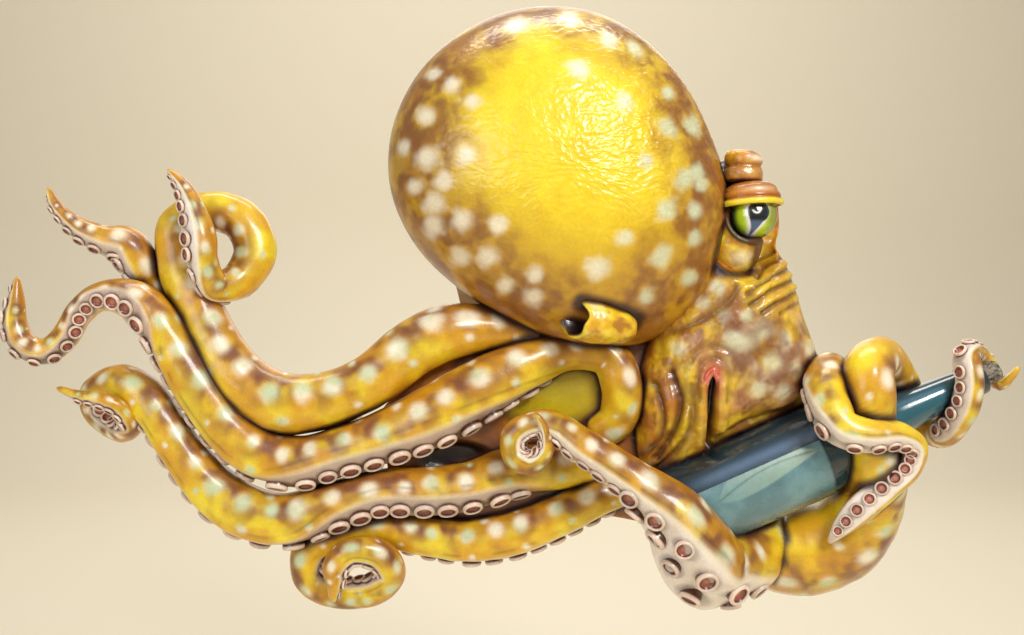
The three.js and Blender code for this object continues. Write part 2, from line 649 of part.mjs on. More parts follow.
// Hanging hardware and the board it is screwed to.
const hangerScrewSpots = {};
for (const side of ["left", "right"]) {
  for (const [row, below] of [["upper", 12], ["lower", 29]]) {
    hangerScrewSpots[`hanger_screw_${side}_${row}`] = {
      x: HANGERS[side],
      z: HANGERS.z - below,
      headDepth: BOARD_REAR - 2 * GAP - STRAP.thickness,
      tipDepth: BOARD_FRONT - 1.5,
    };
  }
}
const grownHangerScrews = Object.values(hangerScrewSpots).map((s) => screw(s, HANGER_SCREW, GAP));
for (const side of ["left", "right"]) {
  const strap = clearOf(hangerStrap(HANGERS[side]), grownHangerScrews);
  add(`hanger_strap_${side}`, strap, paint(0xb9bcc0, 0.3, 1));
  add(`hanger_ring_${side}`, hangerRing(HANGERS[side]), paint(0xc4c7ca, 0.25, 1));
}
for (const [name, spot] of Object.entries(hangerScrewSpots)) {
  add(name, screw(spot, HANGER_SCREW), paint(0xb9bcc0, 0.3, 1));
}
for (const [name, spot] of bodyScrews) add(name, screw(spot, BODY_SCREW), paint(0xb08d3c, 0.35, 1));
for (const [name, spot] of Object.entries(PAD_SPOTS)) add(name, wallPad(spot), paint(0x1c1c1c, 0.8));
const board = clearOf(boardPanel(), [...grownBodyScrews, ...grownHangerScrews]);
add("backer_board", board, paint(0xc9a06a, 0.7));

// Mantle: a hard painted skin over a carved core.
const grownEye = eyeball(GAP);
const grownLid = upperLid(GAP);
const grownBag = ellipsoid(...FACE.bag, GAP);
const grownKnob = ellipsoid(...FACE.knob, GAP);
const grownFace = [grownEye, grownLid, grownBag, grownKnob];
const mantleSkin = mantleSolid(0).subtract(mantleSolid(MANTLE.skin, 5));
const mantleCore = mantleSolid(MANTLE.skin + GAP);
const grownMantle = mantleSolid(-GAP, 5);
add("mantle_skin", clearOf(mantleSkin, grownFace), hide());
add("mantle_core", clearOf(mantleCore, [...grownFace, ...grownBodyScrews]), paint(0xe9e4d2, 0.9));

// Bottle, label and cork.
add("bottle", bottleSolid(), paint(0x1d4450, 0.15));
add("cork", corkSolid(), paint(0x8a7f6a, 0.8));
const armSolids = {};
const grownArms = {};
const armOrder = ["arm_6", "arm_8", "arm_7", "arm_1", "arm_3", "arm_4", "arm_5", "arm_2"];
for (const name of armOrder) {
  armSolids[name] = armSolid(ARM_ROUTES[name]);
  grownArms[name] = armSolid(ARM_ROUTES[name], GAP).add(armSolids[name]);
}
const grownBottle = [bottleSolid(GAP), corkSolid(GAP), labelSolid(GAP)];
add("bottle_label", labelSolid(), paint(0x5f8f96, 0.5));

// Arms: each is fitted round the bottle, the mantle, and the arms that lie over it.
const rods = Object.keys(ARM_RODS);
const grownRods = rods.map((name) => rodSolid(name, GAP));
const fixedNeighbours = [grownBoard, grownMantle, ...grownBottle];
armOrder.forEach((name, turn) => {
  const above = armOrder.slice(0, turn).map((other) => grownArms[other]);
  const arm = clearOf(armSolids[name], [...fixedNeighbours, ...above, ...grownRods]);
  add(name, arm, hide());
  const strip = suckerStrip(ARM_ROUTES[name], SUCKER_STRETCH[name]);
  const around = [...fixedNeighbours, ...Object.values(grownArms)];
  add(`${name}_suckers`, clearOf(strip, around), paint(0xe9cdb4, 0.4));
});
for (const name of rods) add(`${name}_rod`, rodSolid(name), paint(0x9a9da0, 0.4, 1));

// Face.
const aroundFace = [grownBoard, grownMantle, ...grownBottle, ...Object.values(grownArms)];
add("eyeball", eyeball(), paint(0xb9c23a, 0.1));
add("upper_eyelid", clearOf(upperLid(), [grownEye]), hide());
add("eye_bag", clearOf(ellipsoid(...FACE.bag), [grownEye, grownLid]), hide());
add("brow_knob", clearOf(ellipsoid(...FACE.knob), [grownLid, grownEye, grownBag]), hide());
add("mouth_liner", clearOf(mouthLiner(), aroundFace), paint(0xb4482c, 0.4));
add("siphon_funnel", clearOf(siphonFunnel(), [grownMantle, ...Object.values(grownArms)]), hide());
const facePieces = [...grownFace, mouthLiner(GAP), siphonFunnel(GAP)];
const head = clearOf(headCasting(), [...aroundFace, ...facePieces, ...grownBodyScrews, ...grownRods]);
add("head_casting", head, hide());
const grownHeadLevels = [[0.95, CASTING_REAR - 5], [1.01, 30], ...domeLevels(40, 93, 5)];
const grownHead = domeOver(HEAD_OUTLINE, HEAD_CENTRE, grownHeadLevels);
const strips = armOrder.map((name) => suckerStrip(ARM_ROUTES[name], SUCKER_STRETCH[name]));
const web = clearOf(webCasting(), [
  ...aroundFace, grownHead, ...facePieces, ...grownBodyScrews, ...grownRods, ...strips,
]);
add("arm_web_casting", web, hide());

export default sculpture;
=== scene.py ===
"""A wall-hung relief sculpture: a golden octopus hugging a teal bottle, as a painted casting.

Metres. +X right, +Z up, +Y into the wall. The wall is the plane y = 0 and the front faces -Y, so a
point's "depth" is how far it stands out of the wall: y = -depth.
"""
import itertools
import math

import bpy
import numpy as np
from mathutils import Matrix, Vector
from mathutils.bvhtree import BVHTree


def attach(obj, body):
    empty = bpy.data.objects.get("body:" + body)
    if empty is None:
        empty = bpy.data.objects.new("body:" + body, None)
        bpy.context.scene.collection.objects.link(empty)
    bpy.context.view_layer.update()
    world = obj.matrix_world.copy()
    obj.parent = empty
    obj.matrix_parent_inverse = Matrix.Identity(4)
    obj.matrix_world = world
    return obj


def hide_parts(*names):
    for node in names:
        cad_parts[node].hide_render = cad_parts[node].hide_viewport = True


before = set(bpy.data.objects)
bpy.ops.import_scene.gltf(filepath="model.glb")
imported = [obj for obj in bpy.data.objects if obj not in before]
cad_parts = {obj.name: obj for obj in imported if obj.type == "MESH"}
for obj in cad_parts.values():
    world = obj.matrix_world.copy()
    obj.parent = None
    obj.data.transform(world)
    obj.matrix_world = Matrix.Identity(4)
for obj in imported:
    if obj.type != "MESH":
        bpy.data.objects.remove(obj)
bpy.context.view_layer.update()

# ------------------------------------------------------------------ driving dimensions

MANTLE = {
    "x": -0.030, "z": 0.102, "radius": 0.142,
    "stretch": 0.085, "stretch_angle": -44,
    "flattening": -0.033, "flattening_angle": 10,
    "rear": 0.01535, "middle": 0.038, "front": 0.136,
}
BOTTLE = {
    "base": (0.048, 0.062, -0.185), "tilt": 23.7, "radius": 0.038, "length": 0.304,
    "cork_radius": 0.009, "cork_length": 0.036, "cork_out": 0.016,
}
EYE = {"x": 0.126, "depth": 0.068, "z": 0.071, "radius": 0.020}
LID_CENTRE = (0.1245, 0.0670, EYE["z"] + 0.0005)
BROW_CENTRE = (0.1195, 0.0620, 0.1125)
POUCH = {
    "centre": (0.1135, 0.0600, 0.0510), "lean": -8,
    "half_width": 0.0225, "half_depth": 0.0228, "half_height": 0.0300,
}
FUNNEL = {"mouth": (-0.0240, 0.1000, -0.0150), "tail": (0.0260, 0.0920, -0.0240), "radius": 0.0170}
HEAD_CENTRE = (0.122, -0.020)
WEB_CENTRE = (0.0, -0.110)
HINGE_DEPTH = 0.003
RING = {"half_width": 0.015, "drop": 0.020, "corner": 0.008, "wire": 0.00125, "z": 0.130}
RING_X = {"left": -0.102, "right": 0.0504}

HEAD_OUTLINE = [
    (0.095, 0.112), (0.117, 0.122), (0.134, 0.115), (0.143, 0.101), (0.153, 0.088), (0.156, 0.066),
    (0.153, 0.047), (0.162, 0.032), (0.171, 0.01), (0.179, -0.016), (0.189, -0.042),
    (0.195, -0.064), (0.183, -0.088), (0.147, -0.108), (0.104, -0.127), (0.07, -0.15),
    (0.045, -0.15), (0.036, -0.121), (0.038, -0.069), (0.048, -0.03), (0.056, -0.004), (0.074, 0.026),
    (0.086, 0.066),
]
WEB_OUTLINE = [
    (-0.186, -0.104), (-0.16, -0.073), (-0.128, -0.052), (-0.1, -0.036), (-0.06, -0.021),
    (0, -0.018), (0.052, -0.03), (0.066, -0.09), (0.08, -0.14), (0.136, -0.14), (0.15, -0.172),
    (0.118, -0.2), (0.06, -0.196), (0, -0.187), (-0.06, -0.196), (-0.11, -0.2), (-0.15, -0.196),
    (-0.172, -0.18), (-0.178, -0.14),
]

# Arm routes: x, depth, z, radius, and the angle of the sucker row, which is 0 towards the wall,
# 90 towards the left-hand side of the way the arm runs, and 180 towards the viewer.
ARM_ROUTES = {
    "arm_1": [
        (-0.043, 0.034, -0.033, 0.017, 0), (-0.082, 0.038, -0.026, 0.02, 0),
        (-0.12, 0.044, -0.027, 0.023, 0), (-0.154, 0.046, -0.041, 0.024, 0),
        (-0.191, 0.047, -0.07, 0.023, 0), (-0.228, 0.047, -0.086, 0.024, 0),
        (-0.265, 0.047, -0.088, 0.026, 0), (-0.296, 0.046, -0.071, 0.024, 0),
        (-0.32, 0.042, -0.039, 0.021, 0), (-0.337, 0.036, -0.003, 0.02, 0),
        (-0.351, 0.031, 0.028, 0.02, 0), (-0.354, 0.027, 0.057, 0.018, 0),
        (-0.333, 0.024, 0.072, 0.017, 0), (-0.304, 0.023, 0.066, 0.018, 0),
        (-0.291, 0.025, 0.04, 0.018, 0), (-0.301, 0.034, 0.015, 0.016, 30),
        (-0.318, 0.05, 0.008, 0.013, 80), (-0.326, 0.062, 0.028, 0.013, 125),
        (-0.328, 0.064, 0.047, 0.014, 135), (-0.334, 0.062, 0.07, 0.011, 135),
        (-0.343, 0.059, 0.089, 0.007, 130), (-0.355, 0.058, 0.103, 0.002, 120),
    ],
    "arm_2": [
        (-0.15, 0.022, -0.118, 0.01, 30), (-0.19, 0.017, -0.116, 0.011, 30),
        (-0.227, 0.015, -0.106, 0.012, 30), (-0.296, 0.014, -0.08, 0.012, 60),
        (-0.347, 0.015, -0.029, 0.013, 80), (-0.375, 0.022, 0.009, 0.014, 100),
        (-0.384, 0.028, 0.024, 0.017, 115), (-0.395, 0.032, 0.041, 0.017, 120),
        (-0.412, 0.036, 0.046, 0.013, 120), (-0.429, 0.038, 0.053, 0.01, 120),
        (-0.442, 0.042, 0.064, 0.007, 120), (-0.451, 0.044, 0.076, 0.005, 115),
        (-0.455, 0.046, 0.088, 0.002, 110),
    ],
    "arm_3": [
        (-0.003, 0.036, -0.118, 0.014, 0), (0.019, 0.042, -0.101, 0.017, 0),
        (0.022, 0.046, -0.072, 0.018, 0), (0.008, 0.044, -0.047, 0.017, 0),
        (-0.027, 0.044, -0.044, 0.017, 30), (-0.065, 0.048, -0.058, 0.023, 60),
        (-0.101, 0.052, -0.078, 0.026, 80), (-0.14, 0.054, -0.1, 0.026, 95),
        (-0.178, 0.054, -0.116, 0.023, 100), (-0.215, 0.054, -0.128, 0.021, 105),
        (-0.248, 0.052, -0.137, 0.022, 100), (-0.279, 0.052, -0.131, 0.022, 70),
        (-0.307, 0.052, -0.109, 0.021, 60), (-0.331, 0.052, -0.076, 0.02, 60),
        (-0.349, 0.052, -0.046, 0.019, 70), (-0.366, 0.052, -0.02, 0.018, 110),
        (-0.386, 0.05, -0.003, 0.016, 135), (-0.412, 0.046, -0.001, 0.012, 140),
        (-0.43, 0.042, -0.014, 0.011, 130), (-0.442, 0.04, -0.033, 0.011, 110),
        (-0.459, 0.04, -0.047, 0.011, 100), (-0.477, 0.04, -0.041, 0.011, 100),
        (-0.484, 0.04, -0.023, 0.01, 100), (-0.483, 0.04, -0.004, 0.007, 100),
        (-0.482, 0.04, 0.015, 0.002, 100),
    ],
    "arm_4": [
        (0.007, 0.032, -0.141, 0.014, 20), (-0.029, 0.037, -0.144, 0.019, 60),
        (-0.068, 0.04, -0.146, 0.022, 90), (-0.106, 0.042, -0.159, 0.021, 105),
        (-0.144, 0.044, -0.163, 0.02, 110), (-0.182, 0.046, -0.163, 0.02, 110),
        (-0.219, 0.046, -0.174, 0.021, 100), (-0.257, 0.046, -0.186, 0.023, 70),
        (-0.29, 0.046, -0.18, 0.023, 60), (-0.319, 0.046, -0.161, 0.021, 60),
        (-0.342, 0.046, -0.134, 0.018, 60), (-0.36, 0.046, -0.107, 0.017, 60),
        (-0.378, 0.042, -0.083, 0.017, 60), (-0.4, 0.036, -0.073, 0.015, 70),
        (-0.424, 0.026, -0.081, 0.011, 90), (-0.425, 0.022, -0.099, 0.01, 120),
        (-0.403, 0.028, -0.112, 0.012, 120), (-0.388, 0.044, -0.107, 0.009, 110),
        (-0.393, 0.057, -0.092, 0.007, 100), (-0.409, 0.06, -0.084, 0.007, 100),
        (-0.425, 0.058, -0.082, 0.005, 100), (-0.445, 0.052, -0.076, 0.002, 100),
    ],
    "arm_5": [
        (0.044, 0.029, -0.16, 0.012, 30), (0.008, 0.034, -0.168, 0.017, 70),
        (-0.028, 0.036, -0.185, 0.019, 80), (-0.067, 0.034, -0.201, 0.02, 80),
        (-0.106, 0.033, -0.208, 0.019, 80), (-0.144, 0.032, -0.204, 0.017, 70),
        (-0.183, 0.03, -0.196, 0.016, 60), (-0.217, 0.028, -0.2, 0.016, 60),
        (-0.241, 0.028, -0.215, 0.016, 80), (-0.242, 0.03, -0.239, 0.015, 90),
        (-0.22, 0.034, -0.251, 0.013, 90), (-0.189, 0.04, -0.248, 0.013, 90),
        (-0.172, 0.048, -0.232, 0.012, 90), (-0.181, 0.056, -0.214, 0.013, 90),
        (-0.202, 0.06, -0.209, 0.012, 90), (-0.216, 0.06, -0.22, 0.011, 90),
        (-0.218, 0.056, -0.239, 0.007, 90), (-0.22, 0.05, -0.254, 0.003, 90),
    ],
    "arm_6": [
        (0.122, 0.03, -0.172, 0.014, 0), (0.138, 0.038, -0.188, 0.022, 0),
        (0.14, 0.048, -0.204, 0.026, 40), (0.12, 0.064, -0.219, 0.031, 100),
        (0.091, 0.084, -0.22, 0.034, 140), (0.073, 0.099, -0.199, 0.033, 142),
        (0.055, 0.106, -0.172, 0.026, 125), (0.028, 0.103, -0.149, 0.02, 115),
        (0.003, 0.097, -0.131, 0.016, 110), (-0.019, 0.09, -0.117, 0.015, 110),
        (-0.039, 0.084, -0.103, 0.013, 110), (-0.057, 0.079, -0.102, 0.011, 110),
        (-0.071, 0.076, -0.112, 0.011, 110), (-0.07, 0.077, -0.128, 0.011, 110),
        (-0.057, 0.081, -0.132, 0.01, 110), (-0.047, 0.088, -0.121, 0.007, 110),
        (-0.048, 0.092, -0.105, 0.005, 110), (-0.055, 0.094, -0.091, 0.002, 110),
    ],
    "arm_7": [
        (0.126, 0.03, -0.186, 0.024, -60), (0.152, 0.036, -0.212, 0.033, -60),
        (0.182, 0.038, -0.215, 0.038, -60), (0.21, 0.046, -0.204, 0.036, -60),
        (0.226, 0.056, -0.182, 0.032, -60), (0.229, 0.074, -0.156, 0.027, -50),
        (0.223, 0.092, -0.131, 0.023, -40), (0.217, 0.102, -0.104, 0.018, -20),
        (0.212, 0.106, -0.076, 0.02, 0), (0.214, 0.098, -0.054, 0.02, 10),
        (0.238, 0.07, -0.047, 0.017, 0), (0.266, 0.044, -0.07, 0.015, 0),
        (0.283, 0.034, -0.098, 0.014, 20), (0.298, 0.05, -0.112, 0.013, 100),
        (0.303, 0.076, -0.092, 0.012, 110), (0.305, 0.086, -0.068, 0.011, 110),
        (0.306, 0.078, -0.046, 0.011, 110), (0.324, 0.056, -0.042, 0.009, 80),
        (0.346, 0.04, -0.054, 0.007, 60), (0.354, 0.042, -0.07, 0.006, 60),
        (0.359, 0.05, -0.064, 0.004, 60), (0.364, 0.056, -0.054, 0.002, 60),
    ],
    "arm_8": [
        (0.2, 0.058, -0.056, 0.013, 0), (0.19, 0.074, -0.06, 0.018, 0),
        (0.18, 0.094, -0.072, 0.019, -40), (0.178, 0.11, -0.087, 0.018, -80),
        (0.185, 0.12, -0.1, 0.016, -110), (0.204, 0.124, -0.105, 0.014, -125),
        (0.226, 0.122, -0.105, 0.012, -130), (0.244, 0.116, -0.114, 0.01, -135),
        (0.243, 0.11, -0.132, 0.01, -145), (0.226, 0.104, -0.149, 0.012, -150),
        (0.209, 0.098, -0.167, 0.012, -150), (0.196, 0.092, -0.184, 0.008, -150),
        (0.187, 0.087, -0.198, 0.002, -150),
    ],
}
# For each arm: where its suckers start and stop along the route, how many rows there are, how far
# the row leans towards the viewer in radians, how flat the underside is, and how pale it is.
SUCKER_ROWS = {
    "arm_1": (15.0, 20.6, 1, 0.0, 0.20, 1.0), "arm_2": (5, 11.6, 1, 0.0, 0.16, 0.7),
    "arm_3": (4.6, 23.4, 1, 0.38, 0.13, 0.35), "arm_4": (2, 20, 1, 0.38, 0.13, 0.35),
    "arm_5": (1, 16.5, 1, 0.15, 0.13, 0.5), "arm_6": (3.1, 16, 2, 0.0, 0.26, 1.0),
    "arm_7": (0.8, 20, 1, 0.0, 0.14, 0.9), "arm_8": (2, 11.4, 1, 0.0, 0.24, 1.0),
}

# ------------------------------------------------------------------ colours


def colour(code):
    """A colour written as six hexadecimal digits, as linear red, green and blue."""
    channels = np.array([int(code[i:i + 2], 16) for i in (0, 2, 4)]) / 255
    return np.where(channels <= 0.04045, channels / 12.92, ((channels + 0.055) / 1.055) ** 2.4)


LEMON = colour("f7dd2a")
GOLD = colour("e3ac16")
AMBER = colour("c97f16")
RUST = colour("9a5a22")
BLOTCH = colour("7d4a30")
UMBER = colour("54290f")
PLUM = colour("2c1518")
MINT = colour("c9d6ac")
CREAM = colour("f8efd6")
SHELL_PINK = colour("f7ebe0")
SUCKER_RIM = colour("ead2c0")
SUCKER_CUP = colour("a2533f")
OLIVE = colour("b59c0c")

# ------------------------------------------------------------------ small maths helpers


def at(x, depth, z):
    return np.array([x, -depth, z], dtype=float)


def smooth(start, end, value):
    """0 before start, 1 after end, and an easy curve between them."""
    share = np.clip((np.asarray(value) - start) / (end - start), 0, 1)
    return share * share * (3 - 2 * share)


def bump(value, centre, width):
    """1 at the centre, falling away to 0 over about twice the width."""
    return np.exp(-((value - centre) / width) ** 2)


def mix(first, second, share):
    share = np.clip(np.asarray(share, dtype=float), 0, 1)[..., None]
    return first * (1 - share) + second * share


def coats(colours, layers):
    """The colours with each layer painted over them: a layer is its colour and how much it covers."""
    for tint, cover in layers:
        colours = mix(colours, tint, cover)
    return colours


def unit(vectors):
    return vectors / np.maximum(np.linalg.norm(vectors, axis=-1, keepdims=True), 1e-9)


LATTICE_SIZE = 32
LATTICE = np.random.default_rng(11).random((LATTICE_SIZE,) * 3)


def noise(points, size):
    """Smooth noise from 0 to 1, whose blobs are about size metres across."""
    spots = points / size
    cell = np.floor(spots).astype(int)
    part = spots - cell
    part = part * part * (3 - 2 * part)
    total = np.zeros(points.shape[:-1])
    for corner in itertools.product((0, 1), repeat=3):
        index = (cell + corner) % LATTICE_SIZE
        weight = np.prod(np.where(corner, part, 1 - part), axis=-1)
        total += weight * LATTICE[index[..., 0], index[..., 1], index[..., 2]]
    return total


def fractal(points, size, octaves=3):
    size = np.asarray(size, dtype=float)
    total = 0
    weights = 0
    for octave in range(octaves):
        weight = 0.55 ** octave
        total = total + weight * noise(points + 0.37 * octave, size / 2 ** octave)
        weights += weight
    return total / weights


def catmull(points, places):
    """Points of a smooth curve through the given rows, at places counted in rows."""
    padded = np.vstack([2 * points[0] - points[1], points, 2 * points[-1] - points[-2]])
    index = np.clip(np.floor(places).astype(int), 0, len(points) - 2)
    u = (places - index)[:, None]
    before, here, there, after = (padded[index + k] for k in range(4))
    leave = (there - before) / 2
    arrive = (after - here) / 2
    return ((2 * u ** 3 - 3 * u ** 2 + 1) * here + (u ** 3 - 2 * u ** 2 + u) * leave
            + (3 * u ** 2 - 2 * u ** 3) * there + (u ** 3 - u ** 2) * arrive)


def closed_outline(outline, count):
    """A smooth closed outline through the given points, as count evenly spread points."""
    points = np.array(outline, dtype=float)
    rounds = np.vstack([points[-2:], points, points[:3]])
    dense = catmull(rounds, np.linspace(2, 2 + len(points), 40 * len(points)))
    lengths = np.append(0, np.cumsum(np.linalg.norm(np.diff(dense, axis=0), axis=1)))
    wanted = np.linspace(0, lengths[-1], count, endpoint=False)
    return np.stack([np.interp(wanted, lengths, dense[:, k]) for k in range(2)], axis=1)


def line_distance(flat, line):
    """Distance of flat (x, z) points to a drawn line, which is rounded through its points."""
    line = np.array(line, dtype=float)
    if len(line) > 2:
        line = catmull(line, np.linspace(0, len(line) - 1, 8 * (len(line) - 1) + 1))
    nearest = np.full(flat.shape[:-1], np.inf)
    for start, end in zip(line[:-1], line[1:]):
        along = end - start
        share = np.clip(((flat - start) @ along) / (along @ along), 0, 1)
        gap = np.linalg.norm(flat - start - share[..., None] * along, axis=-1)
        nearest = np.minimum(nearest, gap)
    return nearest


# ------------------------------------------------------------------ meshes from rings of points


def ring_normals(rings):
    """Outward normals of a stack of rings."""
    around = np.roll(rings, -1, axis=1) - np.roll(rings, 1, axis=1)
    along = np.gradient(rings, axis=0)
    normals = unit(np.cross(around, along))
    outward = rings - rings.mean(axis=1, keepdims=True)
    if np.sum(normals * outward) < 0:
        normals = -normals
    return normals


def closed_surface(rings, joined=False):
    """Points and faces of a stack of rings, capped at both ends or joined end to end."""
    rows, columns = rings.shape[:2]
    last = rows if joined else rows - 1
    row = np.arange(last)[:, None] * columns
    next_row = (np.arange(last)[:, None] + 1) % rows * columns
    column = np.arange(columns)[None, :]
    beside = (column + 1) % columns
    quads = np.stack([row + column, row + beside, next_row + beside, next_row + column], axis=-1)
    faces = quads.reshape(-1, 4).tolist()
    points = rings.reshape(-1, 3)
    if not joined:
        points = np.vstack([points, rings[0].mean(axis=0), rings[-1].mean(axis=0)])
        first_pole = rows * columns
        end = (rows - 1) * columns
        for i in range(columns):
            j = (i + 1) % columns
            faces.append([first_pole, j, i])
            faces.append([first_pole + 1, end + i, end + j])
    return points, faces


def capped_colours(colours):
    """Ring colours as one list, with the colours of the two end caps added."""
    flat = colours.reshape(-1, 3)
    return np.vstack([flat, colours[0].mean(axis=0), colours[-1].mean(axis=0)])


def faces_inwards(points, faces):
    """Whether a closed shape's faces point into it, from its signed volume."""
    total = 0
    for picks in ((0, 1, 2), (0, 2, 3)):
        wanted = [face for face in faces if len(face) > max(picks)]
        if wanted:
            a, b, c = (points[[face[k] for face in wanted]] for k in picks)
            total += np.sum(a * np.cross(b, c))
    return total < 0


def add_piece(name, shapes, material, slot, nodes, body="sculpture"):
    """Joins shapes, which are (points, faces, colours), as one piece that stands for CAD nodes."""
    all_points, all_faces, all_colours = [], [], []
    start = 0
    for points, faces, colours in shapes:
        if faces_inwards(points, faces):
            faces = [face[::-1] for face in faces]
        all_points.append(points)
        all_faces += [[start + i for i in face] for face in faces]
        all_colours.append(np.broadcast_to(colours, points.shape))
        start += len(points)
    mesh = bpy.data.meshes.new(name)
    mesh.from_pydata(np.vstack(all_points).tolist(), [], all_faces)
    mesh.polygons.foreach_set("use_smooth", [True] * len(mesh.polygons))
    paint = mesh.color_attributes.new("paint", "FLOAT_COLOR", "POINT")
    flat = np.ones((start, 4))
    flat[:, :3] = np.clip(np.vstack(all_colours), 0, 1)
    paint.data.foreach_set("color", flat.ravel())
    mesh.materials.append(material)
    mesh.update()
    piece = bpy.data.objects.new(name, mesh)
    bpy.context.collection.objects.link(piece)
    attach(piece, body)
    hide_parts(*nodes)
    return piece


def add_surface(name, rings, colours, *settings):
    """One painted stack of rings as a piece; settings are add_piece's, from its material on."""
    points, faces = closed_surface(rings)
    shape = (points, faces, capped_colours(colours))
    return add_piece(name, [shape], *settings)


# ------------------------------------------------------------------ painted shade in creases


def tree_of(names):
    """A search tree over CAD nodes, to find how close a point is to them."""
    points, faces = [], []
    for name in names:
        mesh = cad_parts[name].data
        start = len(points)
        points += [vertex.co[:] for vertex in mesh.vertices]
        faces += [[start + i for i in polygon.vertices] for polygon in mesh.polygons]
    return BVHTree.FromPolygons(points, faces)


def crease_shade(points, names, reach=0.010):
    """How near each point is to the neighbouring pieces: 1 where they touch, 0 beyond reach. It sets
    where painted shade darkens the creases between pieces.
    """
    tree = tree_of(names)
    shape = points.shape[:-1]
    gaps = np.full(points.size // 3, reach)
    for index, point in enumerate(points.reshape(-1, 3).tolist()):
        gap = tree.find_nearest(point, reach)[3]
        if gap is not None:
            gaps[index] = gap
    return (1 - smooth(0, reach, gaps)).reshape(shape)


# ------------------------------------------------------------------ materials


class Nodes:
    """A short way to build a material's nodes."""

    def __init__(self, name):
        self.material = bpy.data.materials.new(name)
        self.material.use_nodes = True
        self.tree = self.material.node_tree
        self.shader = self.tree.nodes["Principled BSDF"]

    def add(self, kind, **values):
        node = self.tree.nodes.new(kind)
        for key, value in values.items():
            if key in node.inputs:
                node.inputs[key].default_value = value
            else:
                setattr(node, key, value)
        return node

    def link(self, start, end):
        self.tree.links.new(start, end)

    def noise(self, scale, detail=4.0, stretch=(1, 1, 1)):
        place = self.add("ShaderNodeTexCoord")
        mapping = self.add("ShaderNodeMapping")
        mapping.inputs["Scale"].default_value = stretch
        texture = self.add("ShaderNodeTexNoise")
        texture.inputs["Scale"].default_value = scale
        texture.inputs["Detail"].default_value = detail
        self.link(place.outputs["Object"], mapping.inputs["Vector"])
        self.link(mapping.outputs["Vector"], texture.inputs["Vector"])
        return texture.outputs["Fac"]

    def ramp(self, factor, stops):
        node = self.tree.nodes.new("ShaderNodeValToRGB")
        elements = node.color_ramp.elements
        while len(elements) < len(stops):
            elements.new(0.5)
        for element, (position, value) in zip(elements, stops):
            element.position = position
            element.color = (*value, 1) if len(value) == 3 else value
        self.link(factor, node.inputs["Fac"])
        return node.outputs["Color"]

    def multiply(self, first, second, share):
        node = self.tree.nodes.new("ShaderNodeMix")
        node.data_type = "RGBA"
        node.blend_type = "MULTIPLY"
        node.inputs["Factor"].default_value = share
        self.link(first, node.inputs[6])
        self.link(second, node.inputs[7])
        return node.outputs[2]

    def grey(self, factor, low, high, start=0.3, end=0.7):
        """A factor stretched to run from low to high."""
        node = self.tree.nodes.new("ShaderNodeMapRange")
        node.inputs["From Min"].default_value = start
        node.inputs["From Max"].default_value = end
        node.inputs["To Min"].default_value = low
        node.inputs["To Max"].default_value = high
        self.link(factor, node.inputs["Value"])
        return node.outputs["Result"]

    def relief(self, height, distance, strength=0.5):
        node = self.tree.nodes.new("ShaderNodeBump")
        node.inputs["Distance"].default_value = distance
        node.inputs["Strength"].default_value = strength
        self.link(height, node.inputs["Height"])
        self.link(node.outputs["Normal"], self.shader.inputs["Normal"])


def painted_material(name, roughness, coat, grain_scale=420, relief=0.0004):
    """Airbrushed paint under varnish: the piece's own colours, with fine mottling and brush grain."""
    nodes = Nodes(name)
    paint = nodes.add("ShaderNodeAttribute", attribute_name="paint")
    speckle = nodes.ramp(nodes.noise(grain_scale, 3), [(0.3, (0.80, 0.76, 0.70)), (0.7, (1, 1, 1))])
    cloud = nodes.ramp(nodes.noise(70, 5), [(0.3, (0.86, 0.80, 0.74)), (0.65, (1, 1, 1))])
    tinted = nodes.multiply(paint.outputs["Color"], speckle, 0.45)
    nodes.link(nodes.multiply(tinted, cloud, 0.6), nodes.shader.inputs["Base Color"])
    nodes.link(nodes.grey(nodes.noise(160, 4), *roughness), nodes.shader.inputs["Roughness"])
    nodes.shader.inputs["Coat Weight"].default_value = coat
    nodes.shader.inputs["Coat Roughness"].default_value = 0.16
    nodes.relief(nodes.noise(grain_scale, 5), relief)
    return nodes.material


def grained_material(name, grain, stops, roughness, relief_noise, distance):
    """A bare surface whose colour and roughness follow one grain, with a finer relief."""
    nodes = Nodes(name)
    texture = nodes.noise(*grain)
    nodes.link(nodes.ramp(texture, stops), nodes.shader.inputs["Base Color"])
    nodes.link(nodes.grey(texture, *roughness), nodes.shader.inputs["Roughness"])
    nodes.relief(nodes.noise(*relief_noise), distance)
    return nodes.material


def metal_material(name, low, high, roughness):
    """Plated steel or brass with fine scratches and dull patches."""
    nodes = Nodes(name)
    nodes.shader.inputs["Metallic"].default_value = 1.0
    patches = nodes.noise(90, 6)
    nodes.link(nodes.ramp(patches, [(0.3, colour(low)), (0.7, colour(high))]),
               nodes.shader.inputs["Base Color"])
    nodes.link(nodes.grey(nodes.noise(300, 4), roughness - 0.08, roughness + 0.15),
               nodes.shader.inputs["Roughness"])
    nodes.relief(nodes.noise(500, 2, (1, 1, 8)), 0.0001)
    return nodes.material


def cork_material():
    nodes = Nodes("cork")
    paint = nodes.add("ShaderNodeAttribute", attribute_name="paint")
    pits = nodes.noise(520, 6)
    grain = nodes.ramp(pits, [(0.38, colour("4c4136")), (0.5, (1, 1, 1))])
    nodes.link(nodes.multiply(paint.outputs["Color"], grain, 0.8), nodes.shader.inputs["Base Color"])
    nodes.link(nodes.grey(pits, 0.9, 0.65), nodes.shader.inputs["Roughness"])
    nodes.relief(pits, 0.0008, 0.8)
    return nodes.material


